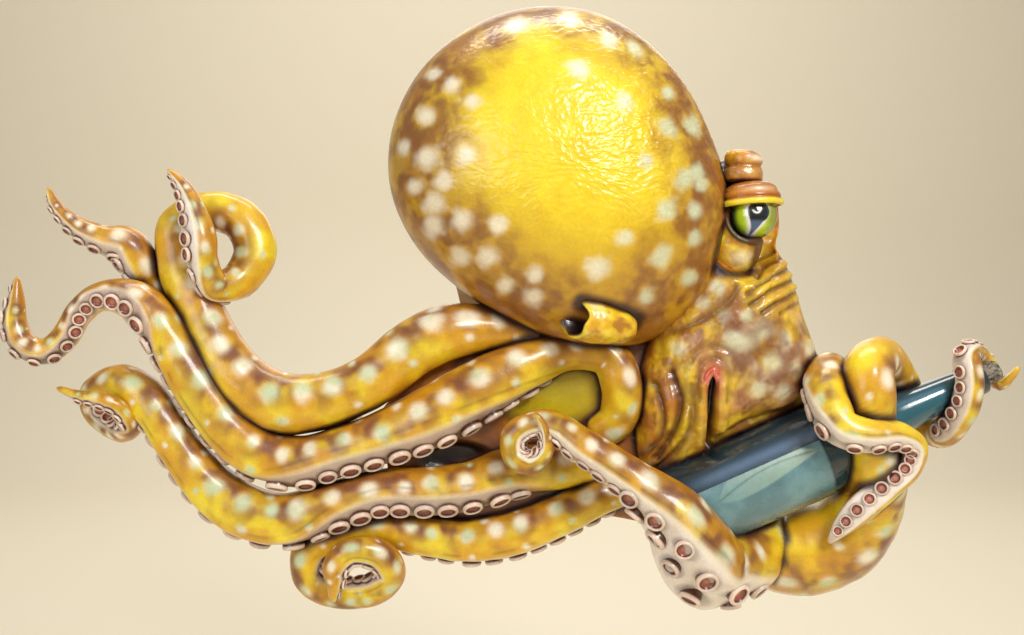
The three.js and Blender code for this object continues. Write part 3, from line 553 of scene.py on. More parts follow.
SKIN_PAINT = painted_material("octopus paint", (0.30, 0.46), 0.45)
SUCKER_PAINT = painted_material("sucker paint", (0.28, 0.45), 0.5, 600, 0.0003)
MOUTH_PAINT = painted_material("mouth paint", (0.25, 0.40), 0.5)
EYE_PAINT = painted_material("eye enamel", (0.06, 0.14), 1.0, 900, 0.00003)
BOTTLE_PAINT = painted_material("bottle enamel", (0.10, 0.22), 0.9, 700, 0.00006)
LABEL_PAINT = painted_material("label paint", (0.22, 0.36), 0.6, 900, 0.0001)
CORK = cork_material()
PLYWOOD = grained_material(
    "birch plywood", (9, 8, (1.4, 1, 22)),
    [(0.25, colour("a87c4b")), (0.5, colour("cfa873")), (0.8, colour("dcbc8a"))],
    (0.55, 0.8), (16, 8, (1, 90, 30)), 0.0006,
)
RUBBER = grained_material(
    "pad rubber", (240, 6), [(0.4, colour("151515")), (0.75, colour("3a3936"))],
    (0.6, 0.9), (700, 3), 0.0002,
)
ZINC = metal_material("bright zinc", "8d9094", "c9ccd0", 0.28)
BRASS = metal_material("yellow zinc screws", "8a6a2c", "c8a452", 0.30)
ROD_STEEL = metal_material("rod steel", "6d7075", "a2a5aa", 0.35)
CORE_PULP = grained_material(
    "carved core", (180, 5), [(0.3, colour("bdb394")), (0.7, colour("e9e2cc"))],
    (0.75, 0.95), (240, 5), 0.0004,
)

# ------------------------------------------------------------------ arms

ARM_SIDES = 60
RING_SPACING = 0.0021
HIDDEN_NAMES = ("backer", "wall_pad", "hanger", "body_screw", "rod", "core", "suckers", "cork")
PAINTED_NODES = [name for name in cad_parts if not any(word in name for word in HIDDEN_NAMES)]


def neighbours(*left_out):
    """The painted nodes, apart from those left out."""
    return [name for name in PAINTED_NODES if name not in left_out]


class Arm:
    """An arm's route, sampled at even steps, with the directions of its cross-sections."""

    def __init__(self, name):
        rows = np.array(ARM_ROUTES[name], dtype=float)
        rows[:, 1] *= -1
        dense = np.linspace(0, len(rows) - 1, 60 * len(rows))
        line = catmull(rows, dense)[:, :3]
        lengths = np.append(0, np.cumsum(np.linalg.norm(np.diff(line, axis=0), axis=1)))
        self.name = name
        self.length = lengths[-1]
        self.along = np.linspace(0, self.length, int(self.length / RING_SPACING))
        self.place = np.interp(self.along, lengths, dense)
        sampled = catmull(rows, self.place)
        self.centre = sampled[:, :3]
        self.radius = np.maximum(sampled[:, 3], 0.0015)
        self.roll = np.radians(sampled[:, 4]) + SUCKER_ROWS[name][3]
        self.tangent = unit(np.gradient(self.centre, axis=0))
        into_wall = np.array([0, 1.0, 0])
        self.wallward = unit(into_wall - self.tangent * self.tangent[:, 1:2])
        self.leftward = np.cross(self.tangent, self.wallward)

    def direction(self, index, angle):
        """Outward direction at a ring, at an angle from the sucker row."""
        turn = self.roll[index] + angle
        return (np.cos(turn)[..., None] * self.wallward[index]
                + np.sin(turn)[..., None] * self.leftward[index])

    def sucker_share(self):
        """How much each ring belongs to the stretch with suckers."""
        first, last = SUCKER_ROWS[self.name][:2]
        return smooth(first - 1, first + 0.5, self.place) * (1 - smooth(last, last + 1, self.place))


def arm_rings(arm):
    """The arm's surface: a soft muscular tube, flattened under its suckers with a lip each side."""
    count = len(arm.along)
    angle = np.linspace(-math.pi, math.pi, ARM_SIDES, endpoint=False)[None, :]
    index = np.arange(count)[:, None]
    outward = arm.direction(np.broadcast_to(index, (count, ARM_SIDES)), angle)
    has_suckers = arm.sucker_share()[:, None]
    side = np.abs(angle)
    flatness = SUCKER_ROWS[arm.name][4]
    form = 1 - has_suckers * (flatness * np.exp(-(side / 0.6) ** 2) - 0.06 * bump(side, 0.86, 0.17))
    radius = arm.radius[:, None]
    start_round = np.sqrt(1 - (1 - np.clip(arm.along / (0.6 * arm.radius[0]), 0.03, 1)) ** 2)
    to_tip = (arm.length - arm.along) / 0.004
    tip_round = np.sqrt(1 - (1 - np.clip(to_tip, 0.03, 1)) ** 2)
    plain = arm.centre[:, None, :] + outward * (radius * form)[..., None]
    lumps = (noise(plain, 0.034) - 0.5) * 0.09 * radius + (noise(plain, 0.011) - 0.5) * 0.0011
    reach = (radius * form + lumps * np.minimum(radius / 0.012, 1)) * (start_round * tip_round)[:, None]
    rings = arm.centre[:, None, :] + outward * reach[..., None]
    rings[..., 1] = np.minimum(rings[..., 1], -0.0008)
    return rings, angle


# Rows of pale spots run along the arm on the sides the viewer sees, whichever way the suckers face:
# each row's angle from the wall, the space between its spots, and the size of the spots.
SPOT_ROWS = ((3.62, 0.027, 1.10), (4.40, 0.034, 0.55), (2.75, 0.050, 0.5), (0.6, 0.034, 0.8))


def arm_spots(arm, rng):
    """Places of the pale spots: distance along the arm, angle from the wall, and radius."""
    spots = []
    for row_angle, spacing, scale in SPOT_ROWS:
        place = spacing * rng.uniform(0.4, 0.9)
        while place < arm.length - 0.015:
            ring = int(np.searchsorted(arm.along, place))
            size = np.clip(arm.radius[ring] * 0.33, 0.0016, 0.0078) * rng.uniform(0.75, 1.2) * scale
            spots.append((place, row_angle + rng.uniform(-0.18, 0.18), size))
            place += spacing * rng.uniform(0.8, 1.25) * np.clip(arm.radius[ring] / 0.020, 0.4, 1.1)
    return spots


def spot_amount(arm, rings, turn, spots):
    """Soft pale spots over the arm's rings, and the darker paint that surrounds them."""
    pale = np.zeros(turn.shape)
    halo = np.zeros(turn.shape)
    ragged = 0.75 + 0.5 * fractal(rings, 0.007, 2)
    for place, spot_turn, size in spots:
        rows = np.abs(arm.along - place) < 4 * size
        sideways = np.angle(np.exp(1j * (turn[rows] - spot_turn))) * arm.radius[rows][:, None]
        distance = np.hypot(arm.along[rows][:, None] - place, sideways) / size * ragged[rows]
        pale[rows] = np.maximum(pale[rows], 1 - smooth(0.35, 1.35, distance))
        halo[rows] = np.maximum(halo[rows], bump(distance, 1.9, 0.75))
    return pale, halo


def sucker_places(arm, rng):
    """Where the suckers stand: ring number, angle from the sucker row, and radius."""
    first, last, rows = SUCKER_ROWS[arm.name][:3]
    place = np.interp(first, arm.place, arm.along)
    end = np.interp(last, arm.place, arm.along)
    places = []
    turn = 1
    while place < end:
        ring = int(np.searchsorted(arm.along, place))
        full = arm.radius[ring]
        radius = min(0.0022 + 0.29 * full, 0.62 * full, 0.0088) * rng.uniform(0.92, 1.08)
        offset = 0.42 * turn if rows == 2 and full > 0.018 else 0.0
        places.append((ring, offset + rng.uniform(-0.05, 0.05), radius))
        place += radius * (1.55 if offset else 2.25)
        turn = -turn
    return places


def sucker_contact_shade(arm, angle, places):
    """Painted shade: a dark ring round the base of each sucker, where it meets the arm."""
    dark = np.zeros((len(arm.along), ARM_SIDES))
    for ring, sucker_angle, radius in places:
        rows = np.abs(arm.along - arm.along[ring]) < 2 * radius
        sideways = np.angle(np.exp(1j * (angle - sucker_angle))) * arm.radius[rows][:, None]
        distance = np.hypot(arm.along[rows][:, None] - arm.along[ring], sideways) / radius
        dark[rows] = np.maximum(dark[rows], 1 - smooth(1.0, 1.45, distance))
    return dark


def arm_colours(arm, rings, angle, places, rng):
    """Golden flanks, a blotched back with pale spots, a cream underside, and painted shade round the
    sucker feet and in the creases between pieces.
    """
    side = np.abs(angle) + np.zeros(rings.shape[:2])
    turn = angle + arm.roll[:, None]
    cloud = fractal(rings, 0.022)
    patches = fractal(rings + 0.5, 0.013, 2)
    has_suckers = arm.sucker_share()[:, None]
    paleness = SUCKER_ROWS[arm.name][5]
    across = np.angle(np.exp(1j * (turn - 3.75)))
    band = np.exp(-(across / 0.62) ** 2)
    outer = smooth(0.75, 1.5, across + 0.5 * (cloud - 0.5))
    colours = mix(LEMON, GOLD, smooth(0.25, 0.65, cloud + 0.2 * smooth(0.0, 1.2, across)))
    colours = mix(colours, AMBER, 0.55 * smooth(-1.1, 0.9, across + 0.7 * (cloud - 0.5)))
    pale, halo = spot_amount(arm, rings, turn, arm_spots(arm, rng))
    blotches = smooth(0.34, 0.66, patches)
    colours = coats(colours, [
        (RUST, (0.15 + 0.60 * band) * blotches),
        (BLOTCH, 0.95 * halo * np.maximum(band, 0.5 * outer) * (0.35 + 0.65 * blotches)),
        (RUST, 0.45 * outer),
        (mix(MINT, CREAM, smooth(0.35, 0.6, cloud)), 0.95 * pale),
    ])
    rear = smooth(0.2, 0.9, np.sum(ring_normals(rings) * np.array([0, 1.0, 0]), axis=-1))
    colours = mix(colours, RUST, 0.45 * rear)
    reach = 0.60 + 0.22 * paleness
    under = (1 - smooth(reach, reach + 0.14, side)) * has_suckers
    belly = mix(colour("a07a62"), SHELL_PINK, paleness)
    belly = mix(belly, colour("c9a58e"), (0.35 - 0.25 * paleness) * smooth(0.4, 0.7, cloud))
    colours = coats(colours, [
        (belly, under),
        (CREAM, (0.35 + 0.4 * paleness) * bump(side, reach + 0.10, 0.10) * has_suckers),
        (UMBER, 0.45 * bump(side, 1.14, 0.07) * has_suckers * blotches),
    ])
    # Painted shade in plum round the sucker feet, weaker on the paler arms.
    foot_shade = sucker_contact_shade(arm, angle, places)
    colours = mix(colours, PLUM, (0.9 - 0.5 * paleness) * foot_shade)
    others = [name for name in PAINTED_NODES if not name.startswith(arm.name)]
    # Painted shade: umber, then plum, where the arm meets its neighbouring pieces.
    shade = crease_shade(rings, others, 0.011)
    colours = mix(colours, UMBER, 0.85 * smooth(0.15, 0.8, shade))
    return mix(colours, PLUM, 0.9 * smooth(0.6, 1.0, shade))


# A sucker's section: distance from its middle and height, as shares of its radius, and its colour.
SUCKER_SECTION = [
    (0.88, -0.75, "base"), (0.95, -0.35, "base"), (1.00, -0.08, "base"), (1.03, 0.10, "rim"),
    (1.02, 0.25, "rim"), (0.95, 0.36, "rim"), (0.85, 0.40, "rim"), (0.75, 0.35, "rim"),
    (0.68, 0.22, "edge"), (0.60, 0.06, "cup"), (0.42, -0.04, "cup"), (0.18, 0.02, "pad"),
]
SUCKER_COLOURS = {
    "base": UMBER, "rim": SUCKER_RIM, "edge": PLUM, "cup": SUCKER_CUP, "pad": colour("c07a62"),
}
SUCKER_SIDES = 22


def sucker_shape(middle, outward, along, radius, tone):
    """One sucker: a rounded rim round a cup, standing on the arm."""
    across = np.cross(outward, along)
    turn = np.linspace(0, 2 * math.pi, SUCKER_SIDES, endpoint=False)[:, None]
    circle = np.cos(turn) * along + np.sin(turn) * across
    rings = np.array([
        middle + circle * radius * share + outward * radius * height
        for share, height, _ in SUCKER_SECTION
    ])
    tints = np.array([SUCKER_COLOURS[kind] for _, _, kind in SUCKER_SECTION]) * tone
    points, faces = closed_surface(rings)
    return points, faces, capped_colours(np.repeat(tints[:, None, :], SUCKER_SIDES, axis=1))


def arm_suckers(arm, places, rng):
    """The suckers of one arm, each facing straight out of it."""
    flatness = SUCKER_ROWS[arm.name][4]
    shapes = []
    for ring, sucker_angle, radius in places:
        outward = arm.direction(ring, np.array(sucker_angle))
        sunk = 1 - flatness * math.exp(-(sucker_angle / 0.6) ** 2)
        middle = arm.centre[ring] + outward * (arm.radius[ring] * sunk + 0.12 * radius)
        room = 0.45 * radius * abs(outward[1]) + radius * math.hypot(outward[0], outward[2])
        middle[1] = min(middle[1], -0.0010 - room)
        shapes.append(sucker_shape(middle, outward, arm.tangent[ring], radius, rng.uniform(0.85, 1.1)))
    return shapes


for arm_name in ARM_ROUTES:
    rng = np.random.default_rng(int(arm_name[-1]))
    arm = Arm(arm_name)
    places = sucker_places(arm, rng)
    rings, angle = arm_rings(arm)
    points, faces = closed_surface(rings)
    paint = capped_colours(arm_colours(arm, rings, angle, places, rng))
    add_piece(f"{arm_name}_skin", [(points, faces, paint)], SKIN_PAINT, "octopus_paint", [arm_name])
    add_piece(f"{arm_name}_sucker_row", arm_suckers(arm, places, rng), SUCKER_PAINT,
              "sucker_paint", [f"{arm_name}_suckers"])

# ------------------------------------------------------------------ mantle

# The larger pale spots on the mantle, as x and z.
MANTLE_SPOTS = [
    (-0.074, 0.218), (-0.031, 0.226), (0.000, 0.204), (0.020, 0.201), (-0.139, 0.179),
    (-0.124, 0.167), (-0.145, 0.143), (-0.109, 0.152), (-0.162, 0.121), (-0.143, 0.111),
    (-0.113, 0.110), (-0.153, 0.088), (-0.130, 0.091), (-0.138, 0.074), (-0.138, 0.058),
    (-0.115, 0.061), (-0.087, 0.057), (-0.117, 0.033), (-0.094, 0.033), (-0.081, 0.010),
    (-0.058, 0.002), (-0.058, 0.019), (-0.010, 0.024), (0.010, 0.048), (0.040, 0.034),
    (0.042, 0.069), (0.031, 0.002), (0.044, 0.135), (0.069, 0.140), (0.047, 0.165), (0.058, 0.095),
    (0.074, 0.093), (0.070, 0.101), (0.067, 0.071), (0.068, 0.049), (0.067, 0.018), (-0.027, 0.177),
    (0.008, 0.152), (0.025, 0.107),
]


def mantle_reach(angle):
    """Distance from the mantle's centre to its outline."""
    two_sided = np.cos(2 * (angle - math.radians(MANTLE["stretch_angle"])))
    three_sided = np.cos(3 * (angle - math.radians(MANTLE["flattening_angle"])))
    return MANTLE["radius"] * (
        1 + MANTLE["stretch"] * two_sided + MANTLE["flattening"] * three_sided
    )


# The flat backs lie just proud of the carved core, and are sampled finely enough for their paint.
BACK_DEPTH = 0.0151
BACK_SHARES = np.linspace(0.02, 0.86, 28)


def undercoat(rings, normals, colours):
    """The colours with a brushed brown undercoat where a casting turns to the wall."""
    to_wall = smooth(0.55, 0.9, normals[..., 1])
    streaks = fractal(rings, (0.030, 0.030, 0.006), 3)
    tone = mix(colour("8e6231"), colour("5f3b1c"), smooth(0.3, 0.7, streaks))
    tone = mix(tone, colour("b98c45"), 0.5 * smooth(0.60, 0.72, fractal(rings + 0.6, 0.012, 3)))
    return mix(colours, tone, to_wall)


def mantle_rings():
    """The smooth egg-shaped dome, from its flat back to its front."""
    around = np.linspace(0, 2 * math.pi, 760, endpoint=False)
    reach = mantle_reach(around)
    edge = np.linspace(0, 1, 16)
    rise = np.linspace(0, math.pi / 2, 200)[1:-1]
    edge_shares = 0.90 + 0.10 * np.sqrt(1 - (1 - edge) ** 2)
    shares = np.concatenate([BACK_SHARES, edge_shares, np.cos(rise)])
    depths = np.concatenate([
        np.full(len(BACK_SHARES), BACK_DEPTH),
        BACK_DEPTH + (MANTLE["middle"] - BACK_DEPTH) * edge,
        MANTLE["middle"] + (MANTLE["front"] - MANTLE["middle"]) * np.sin(rise),
    ])
    x = MANTLE["x"] + shares[:, None] * reach * np.cos(around)
    z = MANTLE["z"] + shares[:, None] * reach * np.sin(around)
    rings = np.stack([x, np.broadcast_to(-depths[:, None], x.shape), z], axis=-1)
    return rings, shares


def mantle_piece():
    """The mantle: smooth at its rim, and crinkled like varnished paper where it faces the light."""
    rings, shares = mantle_rings()
    flat = rings[..., [0, 2]]
    normals = ring_normals(rings)
    warp = (noise(rings, 0.018) - 0.5)[..., None] * 0.010
    wrinkles = 1 - np.abs(2 * fractal(rings + warp, (0.0085, 0.0085, 0.0046), 3) - 1)
    region = np.exp(-np.sum(((flat - (0.010, 0.125)) / (0.100, 0.085)) ** 2, axis=-1))
    crinkle = (0.12 + 0.88 * region) * smooth(1.0, 0.9, shares)[:, None]
    height = (wrinkles ** 3 - 0.4) * 0.00115 * crinkle + (noise(rings, 0.045) - 0.5) * 0.0014
    rings = rings + normals * (height * smooth(0.8, 0.4, normals[..., 1]))[..., None]

    cloud = fractal(rings, 0.030)
    patches = fractal(rings + 0.3, 0.017, 3)
    middle = np.array([MANTLE["x"], MANTLE["z"]])
    outward = unit(flat - middle + 1e-9)
    towards_face = np.maximum(outward @ unit(np.array([1.0, -0.55])), 0)
    towards_left = np.maximum(outward @ unit(np.array([-1.0, -0.25])), 0)
    spread = shares[:, None] + 0.19 * towards_face + 0.15 * towards_left + 0.30 * (cloud - 0.5)
    rim = smooth(0.58, 1.02, spread)
    low = smooth(0.13, 0.00, flat[..., 1])
    colours = mix(LEMON, colour("f4d21c"), smooth(0.3, 0.7, cloud))
    colours = coats(colours, [
        (colour("d3a20e"), 0.85 * low * smooth(0.15, 0.5, shares[:, None])),
        (colour("c9951c"), 0.75 * rim),
        (RUST, smooth(0.60, 1.00, spread) * smooth(0.30, 0.62, patches) * 0.80),
    ])
    pale = np.zeros(rim.shape)
    halo = np.zeros(rim.shape)
    rng = np.random.default_rng(5)
    ragged = 0.55 + 0.9 * fractal(rings, 0.010, 2)
    front = rings[..., 1] < -0.030
    for spot in MANTLE_SPOTS:
        size = rng.uniform(0.0062, 0.0092)
        distance = np.linalg.norm(flat - spot, axis=-1) / size * ragged
        pale = np.maximum(pale, (1 - smooth(0.3, 1.45, distance)) * front)
        halo = np.maximum(halo, bump(distance, 2.1, 0.8) * front)
    halo = 0.8 * halo * smooth(0.55, 0.92, spread) * (0.4 + 0.6 * smooth(0.3, 0.6, patches))
    to_right = smooth(-0.05, 0.06, flat[..., 0])
    colours = coats(colours, [
        (colour("84501f"), halo),
        (mix(CREAM, MINT, 0.8 * to_right), 0.88 * pale),
        (UMBER, 0.5 * smooth(0.985, 1.0, shares[:, None]) * np.ones(rim.shape)),
    ])
    front_rows = rings[..., 1] < -0.016
    others = neighbours("mantle_skin", "head_casting")
    shade = np.zeros(rim.shape)
    near = (shares[:, None] > 0.45) & front_rows
    shade[near] = crease_shade(rings[near], others, 0.013)
    colours = coats(colours, [
        (UMBER, 0.9 * smooth(0.1, 0.8, shade)),
        (PLUM, 0.9 * smooth(0.6, 1.0, shade)),
    ])
    colours = undercoat(rings, normals, colours)
    return add_surface("mantle_dome", rings, colours, SKIN_PAINT, "octopus_paint", ["mantle_skin"])


mantle_piece()

# ------------------------------------------------------------------ head and arm web


def dome_rings(outline, centre, around, edge_levels, middle, front, rows):
    """A flat back, then edge levels as (share, depth), then an elliptical rise."""
    rim = closed_outline(outline, around)
    rise = np.linspace(0, math.pi / 2, rows + 2)[1:-1]
    shares = np.concatenate([BACK_SHARES, [share for share, _ in edge_levels], np.cos(rise)])
    depths = np.concatenate([
        np.full(len(BACK_SHARES), BACK_DEPTH),
        [depth for _, depth in edge_levels], middle + (front - middle) * np.sin(rise),
    ])
    flat = np.array(centre) + shares[:, None, None] * (rim - np.array(centre))[None]
    depth = np.broadcast_to(-depths[:, None], flat.shape[:2])
    return np.stack([flat[..., 0], depth, flat[..., 1]], axis=-1), shares


# Grooves pressed into the face: the line as (x, z) points, its half width, depth and darkness; the
# darkness is painted shade down the groove.
FACE_GROOVES = [
    ([(0.136, 0.036), (0.149, 0.043)], 0.0020, 0.0020, 0.7),
    ([(0.128, 0.021), (0.139, 0.031), (0.155, 0.037)], 0.0021, 0.0026, 0.8),
    ([(0.116, 0.006), (0.132, 0.017), (0.162, 0.029)], 0.0022, 0.0028, 0.8),
    ([(0.118, -0.003), (0.139, 0.010), (0.166, 0.019)], 0.0022, 0.0028, 0.8),
    ([(0.129, -0.009), (0.143, -0.001), (0.170, 0.009)], 0.0022, 0.0026, 0.75),
    ([(0.146, -0.010), (0.158, -0.004), (0.174, 0.000)], 0.0020, 0.0020, 0.6),
    ([(0.079, -0.080), (0.077, -0.064), (0.081, -0.051), (0.090, -0.046), (0.099, -0.052),
      (0.103, -0.066), (0.102, -0.082)], 0.0026, 0.0018, 0.42),
    ([(0.070, -0.086), (0.068, -0.064), (0.074, -0.045), (0.088, -0.037), (0.102, -0.041),
      (0.111, -0.056)], 0.0030, 0.0016, 0.32),
    ([(0.058, -0.060), (0.064, -0.083), (0.061, -0.104), (0.048, -0.132)], 0.0034, 0.0052, 0.9),
    ([(0.073, -0.070), (0.074, -0.094), (0.068, -0.118), (0.050, -0.142)], 0.0030, 0.0036, 0.7),
    ([(0.046, -0.070), (0.052, -0.094), (0.049, -0.116), (0.036, -0.134)], 0.0028, 0.0034, 0.75),
    ([(0.099, -0.115), (0.124, -0.102), (0.161, -0.090), (0.172, -0.082)], 0.0036, 0.0030, 0.6),
    ([(0.060, -0.026), (0.080, -0.016), (0.100, -0.002), (0.109, 0.012)], 0.0032, 0.0016, 0.5),
]
MOUTH_SLIT = [(0.0895, -0.060), (0.0895, -0.077), (0.0912, -0.098), (0.0925, -0.121)]
# Ridges raised on the face: the line as (x, z) points, its half width and height. Each ridge also gets
# a painted highlight in lemon along it.
FACE_RIDGES = [
    ([(0.071, -0.100), (0.070, -0.074), (0.069, -0.055)], 0.0048, 0.0020),
    ([(0.082, -0.118), (0.081, -0.094), (0.082, -0.070)], 0.0040, 0.0024),
    ([(0.102, -0.108), (0.101, -0.090), (0.099, -0.070)], 0.0044, 0.0024),
    ([(0.067, -0.140), (0.070, -0.115), (0.069, -0.098)], 0.0050, 0.0030),
    ([(0.122, 0.010), (0.142, 0.022), (0.162, 0.034)], 0.0030, 0.0018),
    ([(0.116, -0.001), (0.141, 0.013), (0.166, 0.024)], 0.0030, 0.0018),
    ([(0.124, -0.007), (0.143, 0.004), (0.170, 0.014)], 0.0030, 0.0018),
]
FACE_SPOTS = [
    (0.150, -0.030), (0.128, -0.024), (0.160, -0.055), (0.137, -0.050), (0.118, -0.030),
    (0.176, -0.040), (0.150, -0.075), (0.128, -0.072), (0.098, -0.012), (0.082, 0.000),
    (0.115, -0.012), (0.172, -0.062), (0.063, -0.040), (0.094, 0.012), (0.104, -0.032),
]


def eye_hollow(rings):
    """Presses the dome back round the eye, so that the eyeball and its pouch stand clear of it."""
    flat = rings[..., [0, 2]]
    gap = np.linalg.norm(flat - (0.124, 0.066), axis=-1)
    limit = 0.047 + 0.050 * smooth(0.028, 0.058, gap)
    depth = -rings[..., 1]
    softness = 0.004
    lower = -softness * np.logaddexp(-depth / softness, -limit / softness)
    return np.stack([rings[..., 0], -np.where(depth > 0.036, lower, depth), rings[..., 2]], axis=-1)


def head_piece():
    """The face below the mantle: cheeks, wrinkles beside the eye, and folds round the mouth."""
    levels = [(0.94, BACK_DEPTH), (0.97, 0.020), (1.0, 0.030), (1.003, 0.036)]
    rings, shares = dome_rings(HEAD_OUTLINE, HEAD_CENTRE, 600, levels, 0.040, 0.092, 160)
    rings = eye_hollow(rings)
    normals = ring_normals(rings)
    flat = rings[..., [0, 2]]
    cloud = fractal(rings, 0.022)
    patches = fractal(rings + 0.7, 0.013, 3)
    height = (cloud - 0.5) * 0.0052 + (fractal(rings, 0.006, 2) - 0.5) * 0.0011
    colours = mix(colour("e5b01c"), AMBER, smooth(0.35, 0.7, cloud))
    # Painted highlight: a pale cream sheen on the cheek; the rust patches thin out over it.
    cheek_highlight = np.exp(-np.sum(((flat - (0.142, -0.045)) / (0.044, 0.034)) ** 2, axis=-1))
    colours = coats(colours, [
        (LEMON, 0.45 * (1 - smooth(0.35, 0.6, cloud))),
        (CREAM, 0.75 * cheek_highlight * smooth(0.3, 0.55, cloud)),
    ])
    veins = smooth(0.10, 0.0, np.abs(fractal(rings + 0.4, 0.020, 3) - 0.5))
    colours = coats(colours, [
        (RUST, 0.70 * smooth(0.42, 0.62, patches) * (1 - 0.6 * cheek_highlight)),
        (RUST, 0.65 * veins * (0.5 + 0.5 * cheek_highlight)),
    ])
    wrinkled = np.exp(-np.sum(((flat - (0.150, 0.014)) / (0.022, 0.030)) ** 2, axis=-1))
    colours = mix(colours, GOLD, 0.6 * wrinkled)
    rng = np.random.default_rng(8)
    ragged = 0.55 + 0.9 * fractal(rings, 0.010, 2)
    for spot in FACE_SPOTS:
        distance = np.linalg.norm(flat - spot, axis=-1) / rng.uniform(0.0055, 0.0085) * ragged
        colours = coats(colours, [
            (BLOTCH, 0.40 * bump(distance, 2.1, 0.7)),
            (mix(CREAM, MINT, 0.6), 0.72 * (1 - smooth(0.3, 1.45, distance))),
        ])
    # Painted highlight in lemon along each ridge.
    for line, width, rise in FACE_RIDGES:
        near = np.exp(-(line_distance(flat, line) / width) ** 2)
        height = height + rise * near
        colours = mix(colours, LEMON, 0.30 * near)
    # Painted shade in umber down each groove.
    for line, width, sink, dark in FACE_GROOVES:
        near = np.exp(-(line_distance(flat, line) / width) ** 2)
        height = height - sink * near
        colours = mix(colours, UMBER, dark * near)
    from_slit = line_distance(flat, MOUTH_SLIT)
    height = height - 0.012 * np.exp(-(from_slit / 0.0036) ** 4)
    lips = np.exp(-(from_slit / 0.0080) ** 2) * smooth(-0.088, -0.062, flat[..., 1])
    colours = coats(colours, [
        (colour("c4563a"), 0.85 * lips),
        # Painted shade: the inside of the slit is painted near-black.
        (colour("120c0a"), np.exp(-(from_slit / 0.0034) ** 6)),
    ])
    front = smooth(0.8, 0.4, normals[..., 1])
    rings = rings + normals * (height * front * smooth(1.0, 0.93, shares)[:, None])[..., None]
    others = neighbours("head_casting", "mouth_liner", "mantle_skin")
    shade = crease_shade(rings, others, 0.010)
    mantle_shade = crease_shade(rings, ["mantle_skin"], 0.012)
    colours = coats(colours, [
        (RUST, 0.45 * smooth(0.1, 0.8, mantle_shade)),
        (UMBER, 0.85 * smooth(0.1, 0.8, shade)),
        (PLUM, 0.9 * smooth(0.6, 1.0, shade)),
    ])
    colours = undercoat(rings, normals, colours)
    return add_surface("head", rings, colours, SKIN_PAINT, "octopus_paint", ["head_casting"])


head_piece()


def web_piece():
    """The low web between the arms, with its smooth olive pocket, and a hollow painted near-black as
    shade.
    """
    levels = [(0.97, BACK_DEPTH), (0.995, 0.019), (1.0, 0.023)]
    rings, shares = dome_rings(WEB_OUTLINE, WEB_CENTRE, 460, levels, 0.026, 0.0365, 120)
    flat = rings[..., [0, 2]]
    normals = ring_normals(rings)
    cloud = fractal(rings, 0.022)
    patches = fractal(rings + 0.2, 0.012, 4)
    pocket = np.sqrt(np.sum(((flat - (-0.040, -0.079)) / (0.052, 0.031)) ** 2, axis=-1))
    hollow = np.sqrt(np.sum(((flat - (-0.118, -0.136)) / (0.034, 0.016)) ** 2, axis=-1))
    colours = mix(AMBER, RUST, smooth(0.3, 0.6, patches))
    colours = mix(colours, colour("6b3d2a"), 0.6 * smooth(0.35, 0.65, cloud))
    height = (cloud - 0.5) * 0.0030
    height = height * smooth(0.8, 1.2, pocket) + 0.004 * np.exp(-pocket ** 2 * 1.5)
    # Painted highlight: brighter yellow in the middle of the olive pocket, and painted shade darkening
    # its rim.
    pocket_highlight = np.exp(-np.sum(((flat - (-0.044, -0.074)) / (0.034, 0.020)) ** 2, axis=-1))
    olive = mix(OLIVE, colour("e0cc1c"), pocket_highlight)
    olive = mix(olive, colour("77590f"), smooth(0.65, 1.05, pocket))
    colours = coats(colours, [
        (olive, 1 - smooth(0.9, 1.15, pocket)),
        # Painted shade: the hollow between the arms is painted near-black.
        (colour("241410"), 1 - smooth(0.7, 1.2, hollow)),
    ])
    height = height - 0.006 * (1 - smooth(0.5, 1.1, hollow))
    front = smooth(0.8, 0.4, normals[..., 1])
    rings = rings + normals * (height * front * smooth(1.0, 0.9, shares)[:, None])[..., None]
    others = neighbours("arm_web_casting")
    shade = crease_shade(rings, others, 0.009)
    colours = coats(colours, [
        (UMBER, 0.8 * smooth(0.2, 0.9, shade)),
        (PLUM, 0.85 * smooth(0.6, 1.0, shade)),
    ])
    colours = undercoat(rings, normals, colours)
    return add_surface("arm_web", rings, colours, SKIN_PAINT, "octopus_paint", ["arm_web_casting"])


web_piece()

# ------------------------------------------------------------------ turned shapes


def turned_rings(profile, origin, axis, sides, squash=1.0):
    """Rings of a turned shape: profile rows are (radius, height along the axis)."""
    axis = unit(np.array(axis, dtype=float))
    helper = np.array([0, 1.0, 0]) if abs(axis[1]) < 0.9 else np.array([1.0, 0, 0])
    first = unit(np.cross(axis, helper))
    second = np.cross(axis, first)
    turn = np.linspace(0, 2 * math.pi, sides, endpoint=False)
    circle = np.cos(turn)[:, None] * first + squash * np.sin(turn)[:, None] * second
    profile = np.array(profile, dtype=float)
    return (np.asarray(origin) + profile[:, 1, None, None] * axis
            + profile[:, 0, None, None] * circle[None])


def finer(profile, steps):
    """The same profile, rounded through its points."""
    profile = np.array(profile, dtype=float)
    rows = catmull(profile, np.linspace(0, len(profile) - 1, steps * (len(profile) - 1) + 1))
    rows[:, 0] = np.maximum(rows[:, 0], 0.00005)
    return rows


# ------------------------------------------------------------------ eye


